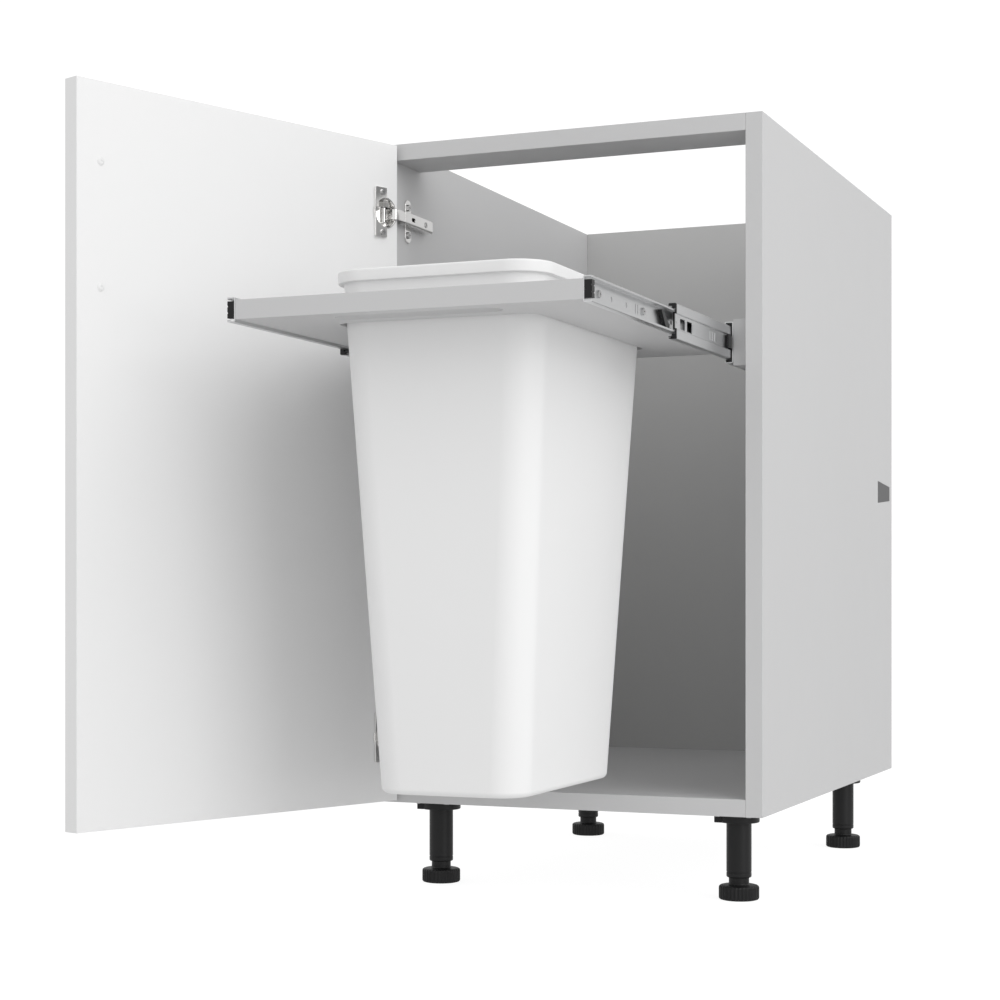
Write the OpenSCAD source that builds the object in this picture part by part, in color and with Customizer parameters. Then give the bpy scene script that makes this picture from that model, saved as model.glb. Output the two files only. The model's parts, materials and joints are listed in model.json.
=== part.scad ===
// Kitchen base cabinet with a pull-out waste bin, one hinged door and four levelling legs.
// The door is drawn open and the bin drawer is drawn fully pulled out.
// X runs across the cabinet, +Y from the front to the back, +Z up from the floor.

/* [Cabinet] */
// Outside width of the cabinet box
cabinet_w = 457; // [400:1:700]
// Height of the cabinet box without its legs
cabinet_h = 762; // [680:1:1000]
// Depth of the cabinet box
cabinet_d = 686; // [560:1:900]
// Thickness of every wood panel
panel_t = 19; // [15:0.1:25]
// Depth of the rail across the top of the front
rail_depth = 74; // [50:1:120]
// Diameter of the wooden dowels in the panel joints
dowel_d = 8; // [6:0.5:10]
// Length of each dowel
dowel_len = 30; // [24:1:34]

/* [Legs] */
// Height of the legs, from the floor to the cabinet box
leg_h = 100; // [90:1:150]
// Diameter of the leg tube
tube_d = 28; // [24:1:32]
// Diameter of the ribbed foot
foot_d = 45; // [40:1:60]
// Height of the ribbed foot
foot_h = 16.5; // [12:0.5:22]
// Diameter of the screwed stem between the foot and the tube
stem_d = 22.8; // [16:0.2:23.2]
// How far a foot screws out
foot_travel = 20; // [5:1:25]
// Leg axis to the inner face of the side panel
leg_side_inset = 27.8; // [25:0.2:60]
// Front leg axis to the front of the box
leg_front_inset = 74.6; // [50:0.2:120]
// Rear leg axis to the back of the box
leg_rear_inset = 92.2; // [50:0.2:120]

/* [Door] */
// Angle that the door is drawn open
door_open = 110; // [100:1:112]
// Thickness of the door
door_t = 19; // [16:0.5:19.5]
// Gap beside each upright edge of the closed door
door_reveal = 2; // [1:0.5:4]
// Gap above and below the closed door
door_end_reveal = 3; // [1:0.5:4]
// Gap between the closed door and the cabinet box
door_gap = 3; // [3:0.5:6]
// Upper hinge centre to the top of the box
hinge_top_inset = 83.5; // [70:0.5:140]
// Lower hinge centre to the underside of the box
hinge_bottom_inset = 77.5; // [70:0.5:140]
// Diameter of the hinge cup
cup_d = 35; // [35:0.5:40]
// Depth of the hinge cup
cup_depth = 14; // [14:0.5:15]
// Hinge edge of the door to the centre of the cup
cup_edge = 20.5; // [20:0.5:25]
// Diameter of the hinge pins
hinge_pin_d = 2.2; // [1.8:0.1:2.4]
// Diameter of the two handle holes through the door
handle_hole_d = 5; // [4:0.5:6]
// Distance between the handle holes
handle_pitch = 127; // [64:1:192]
// Free edge of the door to the handle holes
handle_edge = 30; // [20:1:60]
// Top of the door to the upper handle hole
handle_top = 81; // [40:1:120]

/* [Drawer] */
// Length and full travel of the ball bearing slides
slide_len = 450; // [350:5:550]
// Thickness of one closed slide
slide_t = 12.7; // [12.7:0.1:13]
// Front of the box to the front end of the slides
slide_front = 19.5; // [10:0.5:40]
// Front of the slides to their front screws
slide_screw_in = 39.3; // [20:0.1:60]
// Release lever pins to the screws in front of them
lever_screw_gap = 71; // [60:0.5:80]
// Thickness of the spacer rails behind the slides
spacer_t = 19; // [16:0.5:25]
// Height of the spacer rails
spacer_h = 50.8; // [46:0.2:70]
// Underside of the box to the underside of the bin frame
frame_z = 507; // [440:1:560]
// Front of the bin frame to the front of the bin's body
bin_setback = 69.8; // [60:0.2:90]
// Rear of the bin's body to the rear of the bin frame
frame_rear = 70.8; // [40:0.2:90]
// Length of the finger groove under the front of the frame
groove_len = 172; // [100:1:240]
// Width of the finger groove
groove_w = 31; // [20:1:34]
// Front of the bin frame to the finger groove
groove_setback = 17.5; // [10:0.5:20]

/* [Bin] */
// Width of the bin where it sits in the frame
bin_w = 212; // [160:0.1:260]
// Depth of the bin where it sits in the frame
bin_depth = 334.4; // [260:0.1:420]
// Height of the bin from its underside to its rim
bin_h = 514.6; // [420:0.2:530]
// Height of the rim above the top of the frame
bin_rise = 33; // [20:0.5:40]
// Height of the rim band
rim_h = 13.5; // [8:0.5:18]
// How far the rim stands out from the body
rim_out = 5.5; // [3:0.5:9]
// Taper of each wall, in degrees from upright
bin_taper = 3.2; // [1:0.1:4]
// Corner radius of the bin body
bin_corner = 33; // [20:1:60]
// Wall thickness of the bin
bin_wall = 2.4; // [1.5:0.1:4]

/* [Hidden] */
$fn = 64;

// Working clearance of a turning or sliding fit, on the radius
fit = 0.05;
eps = 0.01;

// Cabinet box: x = 0 is its middle, y = 0 its front, z = 0 its underside
half_w = cabinet_w / 2;
inner = half_w - panel_t;
back_y = cabinet_d - panel_t;

// Door, closed, before it is turned to its drawn angle
door_edge = -half_w + door_reveal;
door_w = cabinet_w - 2 * door_reveal;
door_h = cabinet_h - 2 * door_end_reveal;
// Hinge pin axis: distance from the door's hinge edge, and depth behind its inner face
pivot_in = 10.9;
pivot_deep = 10.6;
pivot = [door_edge + pivot_in, -door_gap - pivot_deep];
hinge_zs = [cabinet_h - hinge_top_inset, hinge_bottom_inset];
hinge_names = ["upper", "lower"];
handle_x = door_edge + door_w - handle_edge;
handle_zs = [cabinet_h - door_end_reveal - handle_top,
             cabinet_h - door_end_reveal - handle_top - handle_pitch];
// Corners of the open door's free edge, which set the left side and the front of the whole object
door_corner = turn([door_edge + door_w, -door_gap - door_t]);
door_tip = turn([door_edge + door_w, -door_gap]);

// Drawer: slides stand between the spacers and the frame
slide_x = inner - spacer_t - slide_t;
slide_z = frame_z + panel_t / 2;
travel = slide_len;
drawer_front = slide_front - travel;
middle_front = slide_front - travel / 2;

// Slide sections, all measured from the frame's side towards the cabinet's side
steel_t = 1.2;
inner_half = 12;
inner_reach = 9;
middle_half = 18;
middle_in = 2.2;
middle_out = 10.3;
outer_half = 22.7;
outer_in = 3;
lip_h = 1.2;
small_ball_d = 3.3;
large_ball_d = 4.5;
small_ball_u = 6.6;
large_ball_u = 5.6;
small_ball_z = (middle_half + outer_half - steel_t) / 2;
large_ball_z = (inner_half + middle_half - steel_t) / 2;
retainer_at = 23;
retainer_len = 3;
steel_at = retainer_at + retainer_len;
// The middle member's web is pressed in between its raceways
press_in = [7, 8.2];
press_half = 8.8;
balls_in_row = 5;
lever_at = 15;
outer_cage_y = [slide_front + 10.5, slide_front + travel / 2 - 9.5];
inner_cage_y = [middle_front + steel_at + 4, slide_front - 9.5];
slide_screw_ys = [slide_screw_in, travel / 2 + lever_at - lever_screw_gap];
spacer_screw_ys = [40, slide_len / 2, slide_len - 40];
lever_pin = [middle_front + lever_at, -7.4];
lever_pin_d = 3;

// Frame cutout: the tapered bin body wedges in its upper edge
frame_top = frame_z + panel_t;
frame_depth = bin_setback + bin_depth + frame_rear;
bin_mid_y = drawer_front + bin_setback + bin_depth / 2;
slope = tan(bin_taper);
bin_top = frame_top + bin_rise;
bin_floor = bin_top - bin_h;
cut_gap = 0.4;
cut_corner = 18;
groove_y = drawer_front + groove_setback + groove_w / 2;
groove_deep = 8;

// Legs
leg_x = inner - leg_side_inset;
leg_ys = [leg_front_inset, cabinet_d - leg_rear_inset];
leg_names = [["foot_front_left", -1, 0], ["foot_front_right", 1, 0],
             ["foot_rear_left", -1, 1], ["foot_rear_right", 1, 1]];
bracket_h = 13.5;
bracket_r = 23;
tube_top = -3;
neck_h = 8.5;
tube_bottom = -leg_h + foot_h + neck_h;
stem_len = neck_h + 45;

// The whole object stands with its box's middle at the origin
shift = [-(door_corner[0] + half_w) / 2, -(min(drawer_front, door_tip[1]) + cabinet_d) / 2, leg_h];

function turn(p) = let (a = -door_open, v = p - pivot)
    pivot + [v[0] * cos(a) - v[1] * sin(a), v[0] * sin(a) + v[1] * cos(a)];

module place() { translate(shift) children(); }
module at_side(s) { mirror([s < 0 ? 1 : 0, 0, 0]) children(); }
module slab(x, y, z) { translate([x[0], y[0], z[0]]) cube([x[1] - x[0], y[1] - y[0], z[1] - z[0]]); }
module rod_x(p, r, len) { translate(p) rotate([0, 90, 0]) cylinder(r = r, h = len); }
module rod_y(p, r, len) { translate(p) rotate([-90, 0, 0]) cylinder(r = r, h = len); }
// Extrudes a section drawn in X and Z along Y
module along_y(y) { translate([0, y[1], 0]) rotate([90, 0, 0]) linear_extrude(y[1] - y[0]) children(); }
// Extrudes an outline drawn in Y and Z along X
module along_x(x) { translate([x[0], 0, 0]) rotate([90, 0, 90]) linear_extrude(x[1] - x[0]) children(); }
module round_rect(w, d, r) {
    square([w - 2 * r, d], center = true);
    square([w, d - 2 * r], center = true);
    for (sx = [-1, 1], sy = [-1, 1]) translate([sx * (w / 2 - r), sy * (d / 2 - r)]) circle(r = r);
}

// ---- Cabinet box ----

dowel_side = panel_t * 0.6;
bottom_dowel_ys = [for (k = [0:3]) 60 + k * (back_y - 120) / 3];
rail_dowel_ys = [rail_depth * 0.27, rail_depth * 0.73];
back_dowel_zs = [cabinet_h * 0.2, cabinet_h * 0.8];

// The dowels of one side, or the holes for them
module dowels_one_side() {
    x = inner - (dowel_len - dowel_side);
    for (y = bottom_dowel_ys) rod_x([x, y, panel_t / 2], dowel_d / 2, dowel_len);
    for (y = rail_dowel_ys) rod_x([x, y, cabinet_h - panel_t / 2], dowel_d / 2, dowel_len);
    for (z = back_dowel_zs) rod_x([x, back_y + panel_t / 2, z], dowel_d / 2, dowel_len);
}
module all_dowels() { for (s = [-1, 1]) at_side(s) dowels_one_side(); }

// Tapered key that locks the back panel to a side panel
wedge_deep = 10;
wedge_y = [back_y - 72, back_y + 4];
wedge_z = cabinet_h / 2 - 4;
wedge_half = [14.5, 9.3];
module wedge_one_side() {
    along_x([half_w - wedge_deep, half_w])
        polygon([[wedge_y[0], wedge_z - wedge_half[0]], [wedge_y[1], wedge_z - wedge_half[1]],
                 [wedge_y[1], wedge_z + wedge_half[1]], [wedge_y[0], wedge_z + wedge_half[0]]]);
}
module side_panel(s) {
    color([0.74, 0.74, 0.75]) place() difference() {
        at_side(s) slab([inner, half_w], [0, cabinet_d], [0, cabinet_h]);
        at_side(s) dowels_one_side();
        at_side(s) wedge_one_side();
        at_side(s) spacer_screw_rods();
        if (s < 0) plate_screw_rods();
    }
}
module bottom_panel() {
    color([0.74, 0.74, 0.75]) place() difference() {
        slab([-inner, inner], [0, back_y], [0, panel_t]);
        all_dowels();
        leg_screw_rods();
    }
}
module back_panel() {
    color([0.70, 0.70, 0.71]) place() difference() {
        slab([-inner, inner], [back_y, cabinet_d], [0, cabinet_h]);
        all_dowels();
    }
}
module front_rail() {
    color([0.74, 0.74, 0.75]) place() difference() {
        slab([-inner, inner], [0, rail_depth], [cabinet_h - panel_t, cabinet_h]);
        all_dowels();
    }
}
module wedge(s) { color([0.42, 0.42, 0.43]) place() at_side(s) wedge_one_side(); }
module panel_dowels() { color([0.80, 0.66, 0.45]) place() all_dowels(); }

// ---- Legs ----

leg_screw_offsets = [for (sx = [-1, 1], sy = [-1, 1]) [sx * 18, sy * 25]];
module at_leg(sx, k) { translate([sx * leg_x, leg_ys[k], 0]) children(); }
module leg_screw_rods() {
    for (sx = [-1, 1], k = [0, 1], o = leg_screw_offsets)
        at_leg(sx, k) translate([o[0], o[1], 0]) cylinder(r = 2, h = 12);
}
module leg_bracket(sx, k) {
    color([0.13, 0.13, 0.13]) place() at_leg(sx, k) difference() {
        union() {
            translate([0, 0, -bracket_h]) cylinder(r = bracket_r, h = bracket_h);
            slab([-24, 24], [-31, 31], [-3.5, 0]);
            slab([-24, -8], [-17, 17], [-bracket_h, 0]);
        }
        translate([0, 0, -bracket_h - eps]) cylinder(r = tube_d / 2, h = bracket_h + tube_top + eps);
        for (o = leg_screw_offsets)
            translate([o[0], o[1], -bracket_h - eps]) cylinder(r = 2, h = bracket_h + 2 * eps);
    }
}
module leg_tube(sx, k) {
    color([0.15, 0.15, 0.15]) place() at_leg(sx, k) difference() {
        translate([0, 0, tube_bottom]) cylinder(r = tube_d / 2, h = tube_top - tube_bottom);
        translate([0, 0, tube_bottom - eps])
            cylinder(r = stem_d / 2 + fit, h = stem_len - neck_h + 3 + eps);
    }
}
// A disc with upright ribs around it
module ribbed_disc(r, h, ribs) {
    step = 360 / ribs;
    linear_extrude(h) polygon([for (i = [0:ribs - 1], k = [0:3])
        let (a = (i + [0, 0.18, 0.5, 0.68][k]) * step, q = k == 0 || k == 3 ? r - 0.9 : r)
        q * [cos(a), sin(a)]]);
}
module foot(sx, k) {
    color([0.12, 0.12, 0.12]) place() at_leg(sx, k) translate([0, 0, -leg_h]) {
        ribbed_disc(foot_d / 2, foot_h, 32);
        cylinder(r = stem_d / 2, h = foot_h + stem_len);
    }
}
module leg_screws() {
    color([0.6, 0.6, 0.6]) place() for (sx = [-1, 1], k = [0, 1], o = leg_screw_offsets)
        at_leg(sx, k) translate([o[0], o[1], 0]) {
            z = o[0] < 0 && abs(o[1]) < 17 ? -bracket_h : -3.5;
            translate([0, 0, z]) cylinder(r = 2, h = 12 - z);
            translate([0, 0, z - 2]) cylinder(r = 3.6, h = 2);
        }
}

// ---- Door and hinges ----

module open_door() {
    translate([pivot[0], pivot[1], 0]) rotate([0, 0, -door_open])
        translate([-pivot[0], -pivot[1], 0]) children();
}
cup_x = door_edge + cup_edge;
cup_wall = 1;
flange_x = [cup_x - 1.5, cup_x + 17];
flange_half = cup_d / 2 + 11;
ear_t = 3.2;
flange_t = 1.2;
cup_screw_half = cup_d / 2 + 5.5;
cup_screw_x = cup_x + 5;
cup_screw_len = 13;
cap_d = 7;
cap_deep = 4;

module at_hinges() { for (z = hinge_zs) translate([0, 0, z]) children(); }
module cup_screw_rods() {
    at_hinges() for (s = [-1, 1])
        rod_y([cup_screw_x, -door_gap - cup_screw_len, s * cup_screw_half], 1.75, cup_screw_len);
}
module door_panel() {
    color([0.95, 0.95, 0.95]) place() open_door() difference() {
        slab([door_edge, door_edge + door_w], [-door_gap - door_t, -door_gap],
             [door_end_reveal, door_end_reveal + door_h]);
        at_hinges() rod_y([cup_x, -door_gap - cup_depth, 0], cup_d / 2, cup_depth + eps);
        cup_screw_rods();
        for (z = handle_zs) {
            rod_y([handle_x, -door_gap - door_t - eps, z], handle_hole_d / 2, door_t + 2 * eps);
            rod_y([handle_x, -door_gap - cap_deep, z], cap_d / 2, cap_deep + eps);
        }
    }
}
module handle_hole_caps() {
    color([0.92, 0.92, 0.92]) place() open_door() for (z = handle_zs)
        translate([handle_x, -door_gap, z]) rotate([-90, 0, 0]) difference() {
            union() {
                translate([0, 0, -cap_deep]) cylinder(r = cap_d / 2, h = cap_deep);
                cylinder(r = cap_d / 2 + 0.8, h = 0.5);
                translate([0, 0, 0.5]) cylinder(r1 = cap_d / 2 + 0.3, r2 = cap_d / 2 - 0.8, h = 0.6);
            }
            translate([0, 0, -cap_deep - eps]) cylinder(r = 2, h = cap_deep - 0.6);
            translate([0, 0, 0.7]) cylinder(r = 1.1, h = 1);
        }
}
boss_deep = [pivot_deep + 3, pivot_deep - 3];
pin_half = 10.4;
barrel_half = 8;
barrel_wall = 1;
module hinge_cup(z) {
    color([0.80, 0.80, 0.80]) place() open_door() translate([0, 0, z]) difference() {
        union() {
            difference() {
                union() {
                    rod_y([cup_x, -door_gap - cup_depth, 0], cup_d / 2, cup_depth);
                    slab(flange_x, [-door_gap, -door_gap + ear_t], [-flange_half, flange_half]);
                    rod_y([cup_x, -door_gap, 0], cup_d / 2 + 1, flange_t);
                }
                rod_y([cup_x, -door_gap - cup_depth + cup_wall, 0], cup_d / 2 - cup_wall,
                      cup_depth + 2 * ear_t);
            }
            intersection() {
                rod_y([cup_x, -door_gap - cup_depth, 0], cup_d / 2 - cup_wall / 2, cup_depth);
                for (s = [-1, 1]) slab([door_edge, pivot[0] + 4.5],
                    [-door_gap - boss_deep[0], -door_gap - boss_deep[1]],
                    s > 0 ? [barrel_half + 0.2, cup_d] : [-cup_d, -barrel_half - 0.2]);
            }
        }
        translate([pivot[0], pivot[1], -pin_half]) cylinder(r = hinge_pin_d / 2, h = 2 * pin_half);
        for (s = [-1, 1])
            rod_y([cup_screw_x, -door_gap - eps, s * cup_screw_half], 1.75, ear_t + 1);
    }
}
module hinge_pin(z) {
    color([0.70, 0.70, 0.70]) place() translate([pivot[0], pivot[1], z - pin_half])
        cylinder(r = hinge_pin_d / 2, h = 2 * pin_half);
}
module screw_head(r, h) {
    difference() {
        cylinder(r = r, h = h);
        translate([0, 0, h - 0.6]) {
            cube([r * 1.3, 0.7, 1.4], center = true);
            cube([0.7, r * 1.3, 1.4], center = true);
        }
    }
}
module hinge_cup_screws() {
    color([0.75, 0.75, 0.75]) place() open_door() {
        cup_screw_rods();
        at_hinges() for (s = [-1, 1]) {
            rod_y([cup_screw_x, -door_gap, s * cup_screw_half], 1.75, ear_t);
            translate([cup_screw_x, -door_gap + ear_t, s * cup_screw_half])
                rotate([-90, 0, 0]) screw_head(3.5, 1.6);
        }
    }
}

// The arm is a bent strap from its barrel on the pin to the box on the mounting plate
arm_t = 2.4;
arm_half = 6;
arm_in = 9.3;
arm_len = 86;
// A point on the open door: along it from the hinge edge, and out from its inner face
function at_door(t, m) = turn([door_edge + t, -door_gap + m]);
// Where the cup's round lip passes the edges of the strap
cup_lip = cup_edge - sqrt(pow(cup_d / 2 - cup_wall, 2) - pow(arm_half, 2));
// The strap leaves the cup past its lip and bends round the door's edge to the side panel
arm_bends = [pivot, at_door(cup_lip + 2.6, 0.8), at_door(cup_lip + 0.4, 3.4), at_door(0.5, 3.4),
             [-inner + arm_in, 0], [-inner + arm_in, 10]];
arm_face = arm_in + arm_t / 2 + 0.3;
function unit(v) = v / norm(v);
function left_of(v) = [-v[1], v[0]];
// Sideways step of a strap's edge at point i of its path, mitred at the bends
function mitre(p, i) = let (
        n0 = left_of(unit(p[max(i, 1)] - p[max(i, 1) - 1])),
        n1 = left_of(unit(p[min(i, len(p) - 2) + 1] - p[min(i, len(p) - 2)])))
    (n0 + n1) / (1 + n0 * n1);
module strap(p, t, half) {
    translate([0, 0, -half]) linear_extrude(2 * half) polygon(concat(
        [for (i = [0:len(p) - 1]) p[i] + mitre(p, i) * t / 2],
        [for (i = [len(p) - 1:-1:0]) p[i] - mitre(p, i) * t / 2]));
}
arm_screw_y = 66;
module hinge_arm(z) {
    color([0.82, 0.82, 0.82]) place() translate([0, 0, z]) difference() {
        union() {
            strap(arm_bends, arm_t, arm_half);
            translate([pivot[0], pivot[1], -barrel_half])
                cylinder(r = hinge_pin_d / 2 + barrel_wall, h = 2 * barrel_half);
            slab([-inner + plate_t, -inner + arm_face], [8, arm_len], [-7.5, 7.5]);
        }
        translate([pivot[0], pivot[1], -barrel_half - eps])
            cylinder(r = hinge_pin_d / 2 + fit, h = 2 * barrel_half + 2 * eps);
        slab([-inner, -inner + arm_in - arm_t / 2 - 0.3], [8 - eps, arm_len + eps], [-6.3, 6.3]);
        rod_x([-inner, arm_screw_y, 0], 2.1, 20);
        slab([-inner, -inner + 20], [26, 36], [-2.2, 2.2]);
    }
}
plate_t = 2;
plate_y = 37;
plate_wing = 16;
plate_screw_len = 14;
module plate_screw_rods() {
    at_hinges() for (s = [-1, 1])
        rod_x([-inner - plate_screw_len, plate_y, s * plate_wing], 2.25, plate_screw_len);
}
module hinge_plate(z) {
    color([0.78, 0.78, 0.78]) place() translate([0, 0, z]) difference() {
        union() {
            slab([-inner, -inner + plate_t], [14, 80], [-7.5, 7.5]);
            slab([-inner, -inner + plate_t], [plate_y - 8, plate_y + 8], [-18, 18]);
            for (s = [-1, 1]) rod_x([-inner, plate_y, s * 17], 8, plate_t);
            slab([-inner, -inner + arm_in - arm_t / 2 - 0.5], [18, 76], [-5.8, 5.8]);
        }
        for (s = [-1, 1]) rod_x([-inner - eps, plate_y, s * plate_wing], 2.25, plate_t + 2 * eps);
        rod_x([-inner - eps, arm_screw_y, 0], 2, 20);
    }
}
module hinge_plate_screws() {
    color([0.75, 0.75, 0.75]) place() {
        plate_screw_rods();
        at_hinges() {
            for (s = [-1, 1]) translate([-inner, plate_y, s * plate_wing]) rotate([0, 90, 0]) {
                cylinder(r = 2.25, h = plate_t);
                translate([0, 0, plate_t]) screw_head(4, 2);
            }
            translate([-inner, arm_screw_y, 0]) rotate([0, 90, 0]) {
                cylinder(r = 2, h = arm_face);
                translate([0, 0, arm_face]) screw_head(3.4, 1.5);
            }
        }
    }
}

// ---- Slides ----

// Draws a slide part for one side, measured outwards from the frame's edge
module slide_side(s) { place() at_side(s) translate([slide_x, 0, slide_z]) children(); }
// A steel channel section: web between two flanges with small inward lips
module channel(web, flange, half, lip_at) {
    translate([web[0], -half]) square([web[1] - web[0], 2 * half]);
    for (s = [-1, 1]) mirror([0, s < 0 ? 1 : 0]) {
        translate([flange[0], half - steel_t]) square([flange[1] - flange[0], steel_t]);
        translate([lip_at, half - steel_t - lip_h]) square([steel_t, steel_t + lip_h]);
    }
}
slide_holes = [for (y = slide_screw_ys) drawer_front + y];
module slide_outer(s) {
    color([0.72, 0.73, 0.74]) slide_side(s) difference() {
        along_y([slide_front, slide_front + slide_len])
            channel([slide_t - steel_t, slide_t], [outer_in, slide_t], outer_half, outer_in);
        for (y = spacer_screw_ys)
            rod_x([slide_t - steel_t - eps, slide_front + y, 0], 3.5, steel_t + 2 * eps);
    }
}
windows = [[43.3, 18.3], [67.2, 19.2]];
module slide_middle(s) {
    color([0.66, 0.67, 0.68]) slide_side(s) difference() {
        union() {
            along_y([middle_front + steel_at, middle_front + slide_len]) {
                difference() {
                    channel([middle_out - steel_t, middle_out], [middle_in, middle_out],
                            middle_half, middle_in);
                    translate([middle_out - steel_t - 1, -press_half])
                        square([steel_t + 2, 2 * press_half]);
                }
                translate([press_in[0], -press_half])
                    square([press_in[1] - press_in[0], 2 * press_half]);
                for (k = [-1, 1]) mirror([0, k < 0 ? 1 : 0])
                    translate([press_in[0], press_half - steel_t])
                        square([middle_out - press_in[0], steel_t]);
            }
            for (k = [0:2]) slab([press_in[1] - eps, press_in[1] + 0.5],
                [middle_front + 150 + k * 9, middle_front + 154 + k * 9], [-5.5, 4.5]);
        }
        for (w = windows) slab([press_in[0] - 1, press_in[1] + 1],
            [middle_front + w[0], middle_front + w[0] + w[1]], [-6.2, 4.6]);
        rod_x([press_in[0] - 1, middle_front + 30.4, -1], 1.6, 5);
    }
}
module slide_inner(s) {
    color([0.75, 0.76, 0.77]) slide_side(s) difference() {
        along_y([drawer_front, drawer_front + slide_len])
            channel([0, steel_t], [0, inner_reach], inner_half, inner_reach - steel_t);
        for (y = slide_holes) rod_x([-eps, y, 0], 2, steel_t + 2 * eps);
        for (y = slide_holes, k = [0:1]) slab([-eps, steel_t + eps],
            [y - 17 - k * 7, y - 15.8 - k * 7], [-5, 5]);
        rod_x([-eps, lever_pin[0], lever_pin[1]], lever_pin_d / 2, steel_t + 2 * eps);
    }
}
function ball_ys(span) = [for (i = [0:balls_in_row - 1])
    span[0] + 8 + i * (span[1] - span[0] - 16) / (balls_in_row - 1)];
// Two flat strips with a round pocket for each ball
module cage(span, u, z, ball_d) {
    color([0.55, 0.56, 0.57]) for (s = [-1, 1]) difference() {
        slab(u, span, [s * z - 0.6, s * z + 0.6]);
        for (y = ball_ys(span)) translate([(u[0] + u[1]) / 2, y, s * z - 1])
            cylinder(r = ball_d / 2 + 0.1, h = 2);
    }
}
module balls(span, u, z, ball_d) {
    color([0.85, 0.85, 0.86]) for (s = [-1, 1], y = ball_ys(span))
        translate([u, y, s * z]) sphere(d = ball_d);
}
module outer_cage(s) {
    slide_side(s) cage(outer_cage_y, [small_ball_u - 2.3, small_ball_u + 2.3], small_ball_z, small_ball_d);
}
module inner_cage(s) {
    slide_side(s) cage(inner_cage_y, [large_ball_u - 3, large_ball_u + 3], large_ball_z, large_ball_d);
}
module outer_balls(s) { slide_side(s) balls(outer_cage_y, small_ball_u, small_ball_z, small_ball_d); }
module inner_balls(s) { slide_side(s) balls(inner_cage_y, large_ball_u, large_ball_z, large_ball_d); }
// Plastic stop in the mouth of each outer member
module slide_stops() {
    color([0.10, 0.10, 0.10]) for (s = [-1, 1]) slide_side(s) along_y([slide_front, slide_front + 5]) {
        translate([middle_out + 0.25, -outer_half + steel_t])
            square([slide_t - steel_t - middle_out - 0.25, 2 * (outer_half - steel_t)]);
        for (k = [-1, 1]) mirror([0, k < 0 ? 1 : 0]) translate([outer_in + 1.4, middle_half + 0.4])
            square([slide_t - steel_t - outer_in - 1.4, outer_half - steel_t - middle_half - 0.4]);
    }
    color([0.10, 0.10, 0.10]) for (s = [-1, 1]) slide_side(s)
        slab([press_in[1] + 0.9, slide_t - steel_t - 0.1], [slide_front - 14, slide_front + 3], [-7, 7]);
}
module retainer(s) {
    color([0.12, 0.12, 0.12]) slide_side(s)
        along_y([middle_front + retainer_at, middle_front + steel_at]) difference() {
            translate([middle_in, -middle_half]) square([middle_out - middle_in, 2 * middle_half]);
            translate([middle_in - 1, -inner_half - 0.5])
                square([press_in[0] - 0.1 - middle_in + 1, 2 * inner_half + 1]);
            for (k = [-1, 1]) mirror([0, k < 0 ? 1 : 0]) translate([middle_in, press_half + 0.1])
                square([inner_reach + 0.3 - middle_in, inner_half + 0.4 - press_half]);
            translate([press_in[1] + 0.2, steel_t - press_half])
                square([slide_t, 2 * (press_half - steel_t)]);
        }
}
module end_blocks() {
    color([0.08, 0.08, 0.08]) for (s = [-1, 1]) slide_side(s)
        along_y([drawer_front, drawer_front + 7]) difference() {
            translate([steel_t, -8.2]) square([inner_reach - 0.3 - steel_t, 16.4]);
            for (z = [-3.2, 3.2]) translate([inner_reach, z]) circle(r = 1);
            translate([steel_t, 0]) circle(r = 1);
        }
}
module slide_screws() {
    color([0.82, 0.82, 0.82]) {
        for (s = [-1, 1]) slide_side(s) for (y = slide_holes) {
            rod_x([-14, y, 0], 2, 14 + steel_t);
            translate([steel_t, y, 0]) rotate([0, 90, 0]) screw_head(3.6, 1.8);
        }
    }
}
module frame_screw_rods() {
    for (s = [-1, 1]) at_side(s) translate([slide_x, 0, slide_z])
        for (y = slide_holes) rod_x([-14, y, 0], 2, 14 + eps);
}
// Curved finger lever that frees the drawer member, and the pin that it turns on
module release_lever(s) {
    color([0.13, 0.13, 0.13]) slide_side(s) translate([0, lever_pin[0], lever_pin[1]])
        difference() {
            union() {
                rod_x([steel_t + 0.4, 0, 0], 3.2, 4.4);
                along_x([steel_t + 0.4, steel_t + 4.8])
                    polygon([[-2.2, -2], [-11, -1], [-15.5, 2.6], [-20, 7.6], [-25.4, 13.4],
                             [-24.6, 15.4], [-21.5, 15.4], [-14, 10.8], [-7, 6], [-0.6, 2.8]]);
            }
            rod_x([0, 0, 0], lever_pin_d / 2 + fit, 8);
        }
}
module lever_pins() {
    color([0.7, 0.7, 0.7]) for (s = [-1, 1]) slide_side(s) {
        rod_x([0, lever_pin[0], lever_pin[1]], lever_pin_d / 2, 6.2);
        rod_x([6.1, lever_pin[0], lever_pin[1]], lever_pin_d / 2 + 0.9, 0.6);
    }
}

// ---- Spacers ----

module spacer_screw_rods() {
    for (y = spacer_screw_ys)
        rod_x([inner - spacer_t, slide_front + y, slide_z], 2, spacer_t + 12);
}
module spacer(s) {
    color([0.80, 0.80, 0.81]) place() at_side(s) difference() {
        slab([inner - spacer_t, inner], [slide_front, slide_front + slide_len],
             [slide_z - spacer_h / 2, slide_z + spacer_h / 2]);
        spacer_screw_rods();
    }
}
module spacer_screws() {
    color([0.75, 0.75, 0.75]) place() for (s = [-1, 1]) at_side(s) {
        spacer_screw_rods();
        for (y = spacer_screw_ys)
            rod_x([inner - spacer_t - steel_t, slide_front + y, slide_z], 3.5, steel_t);
    }
}

// ---- Bin frame and bin ----

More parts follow.
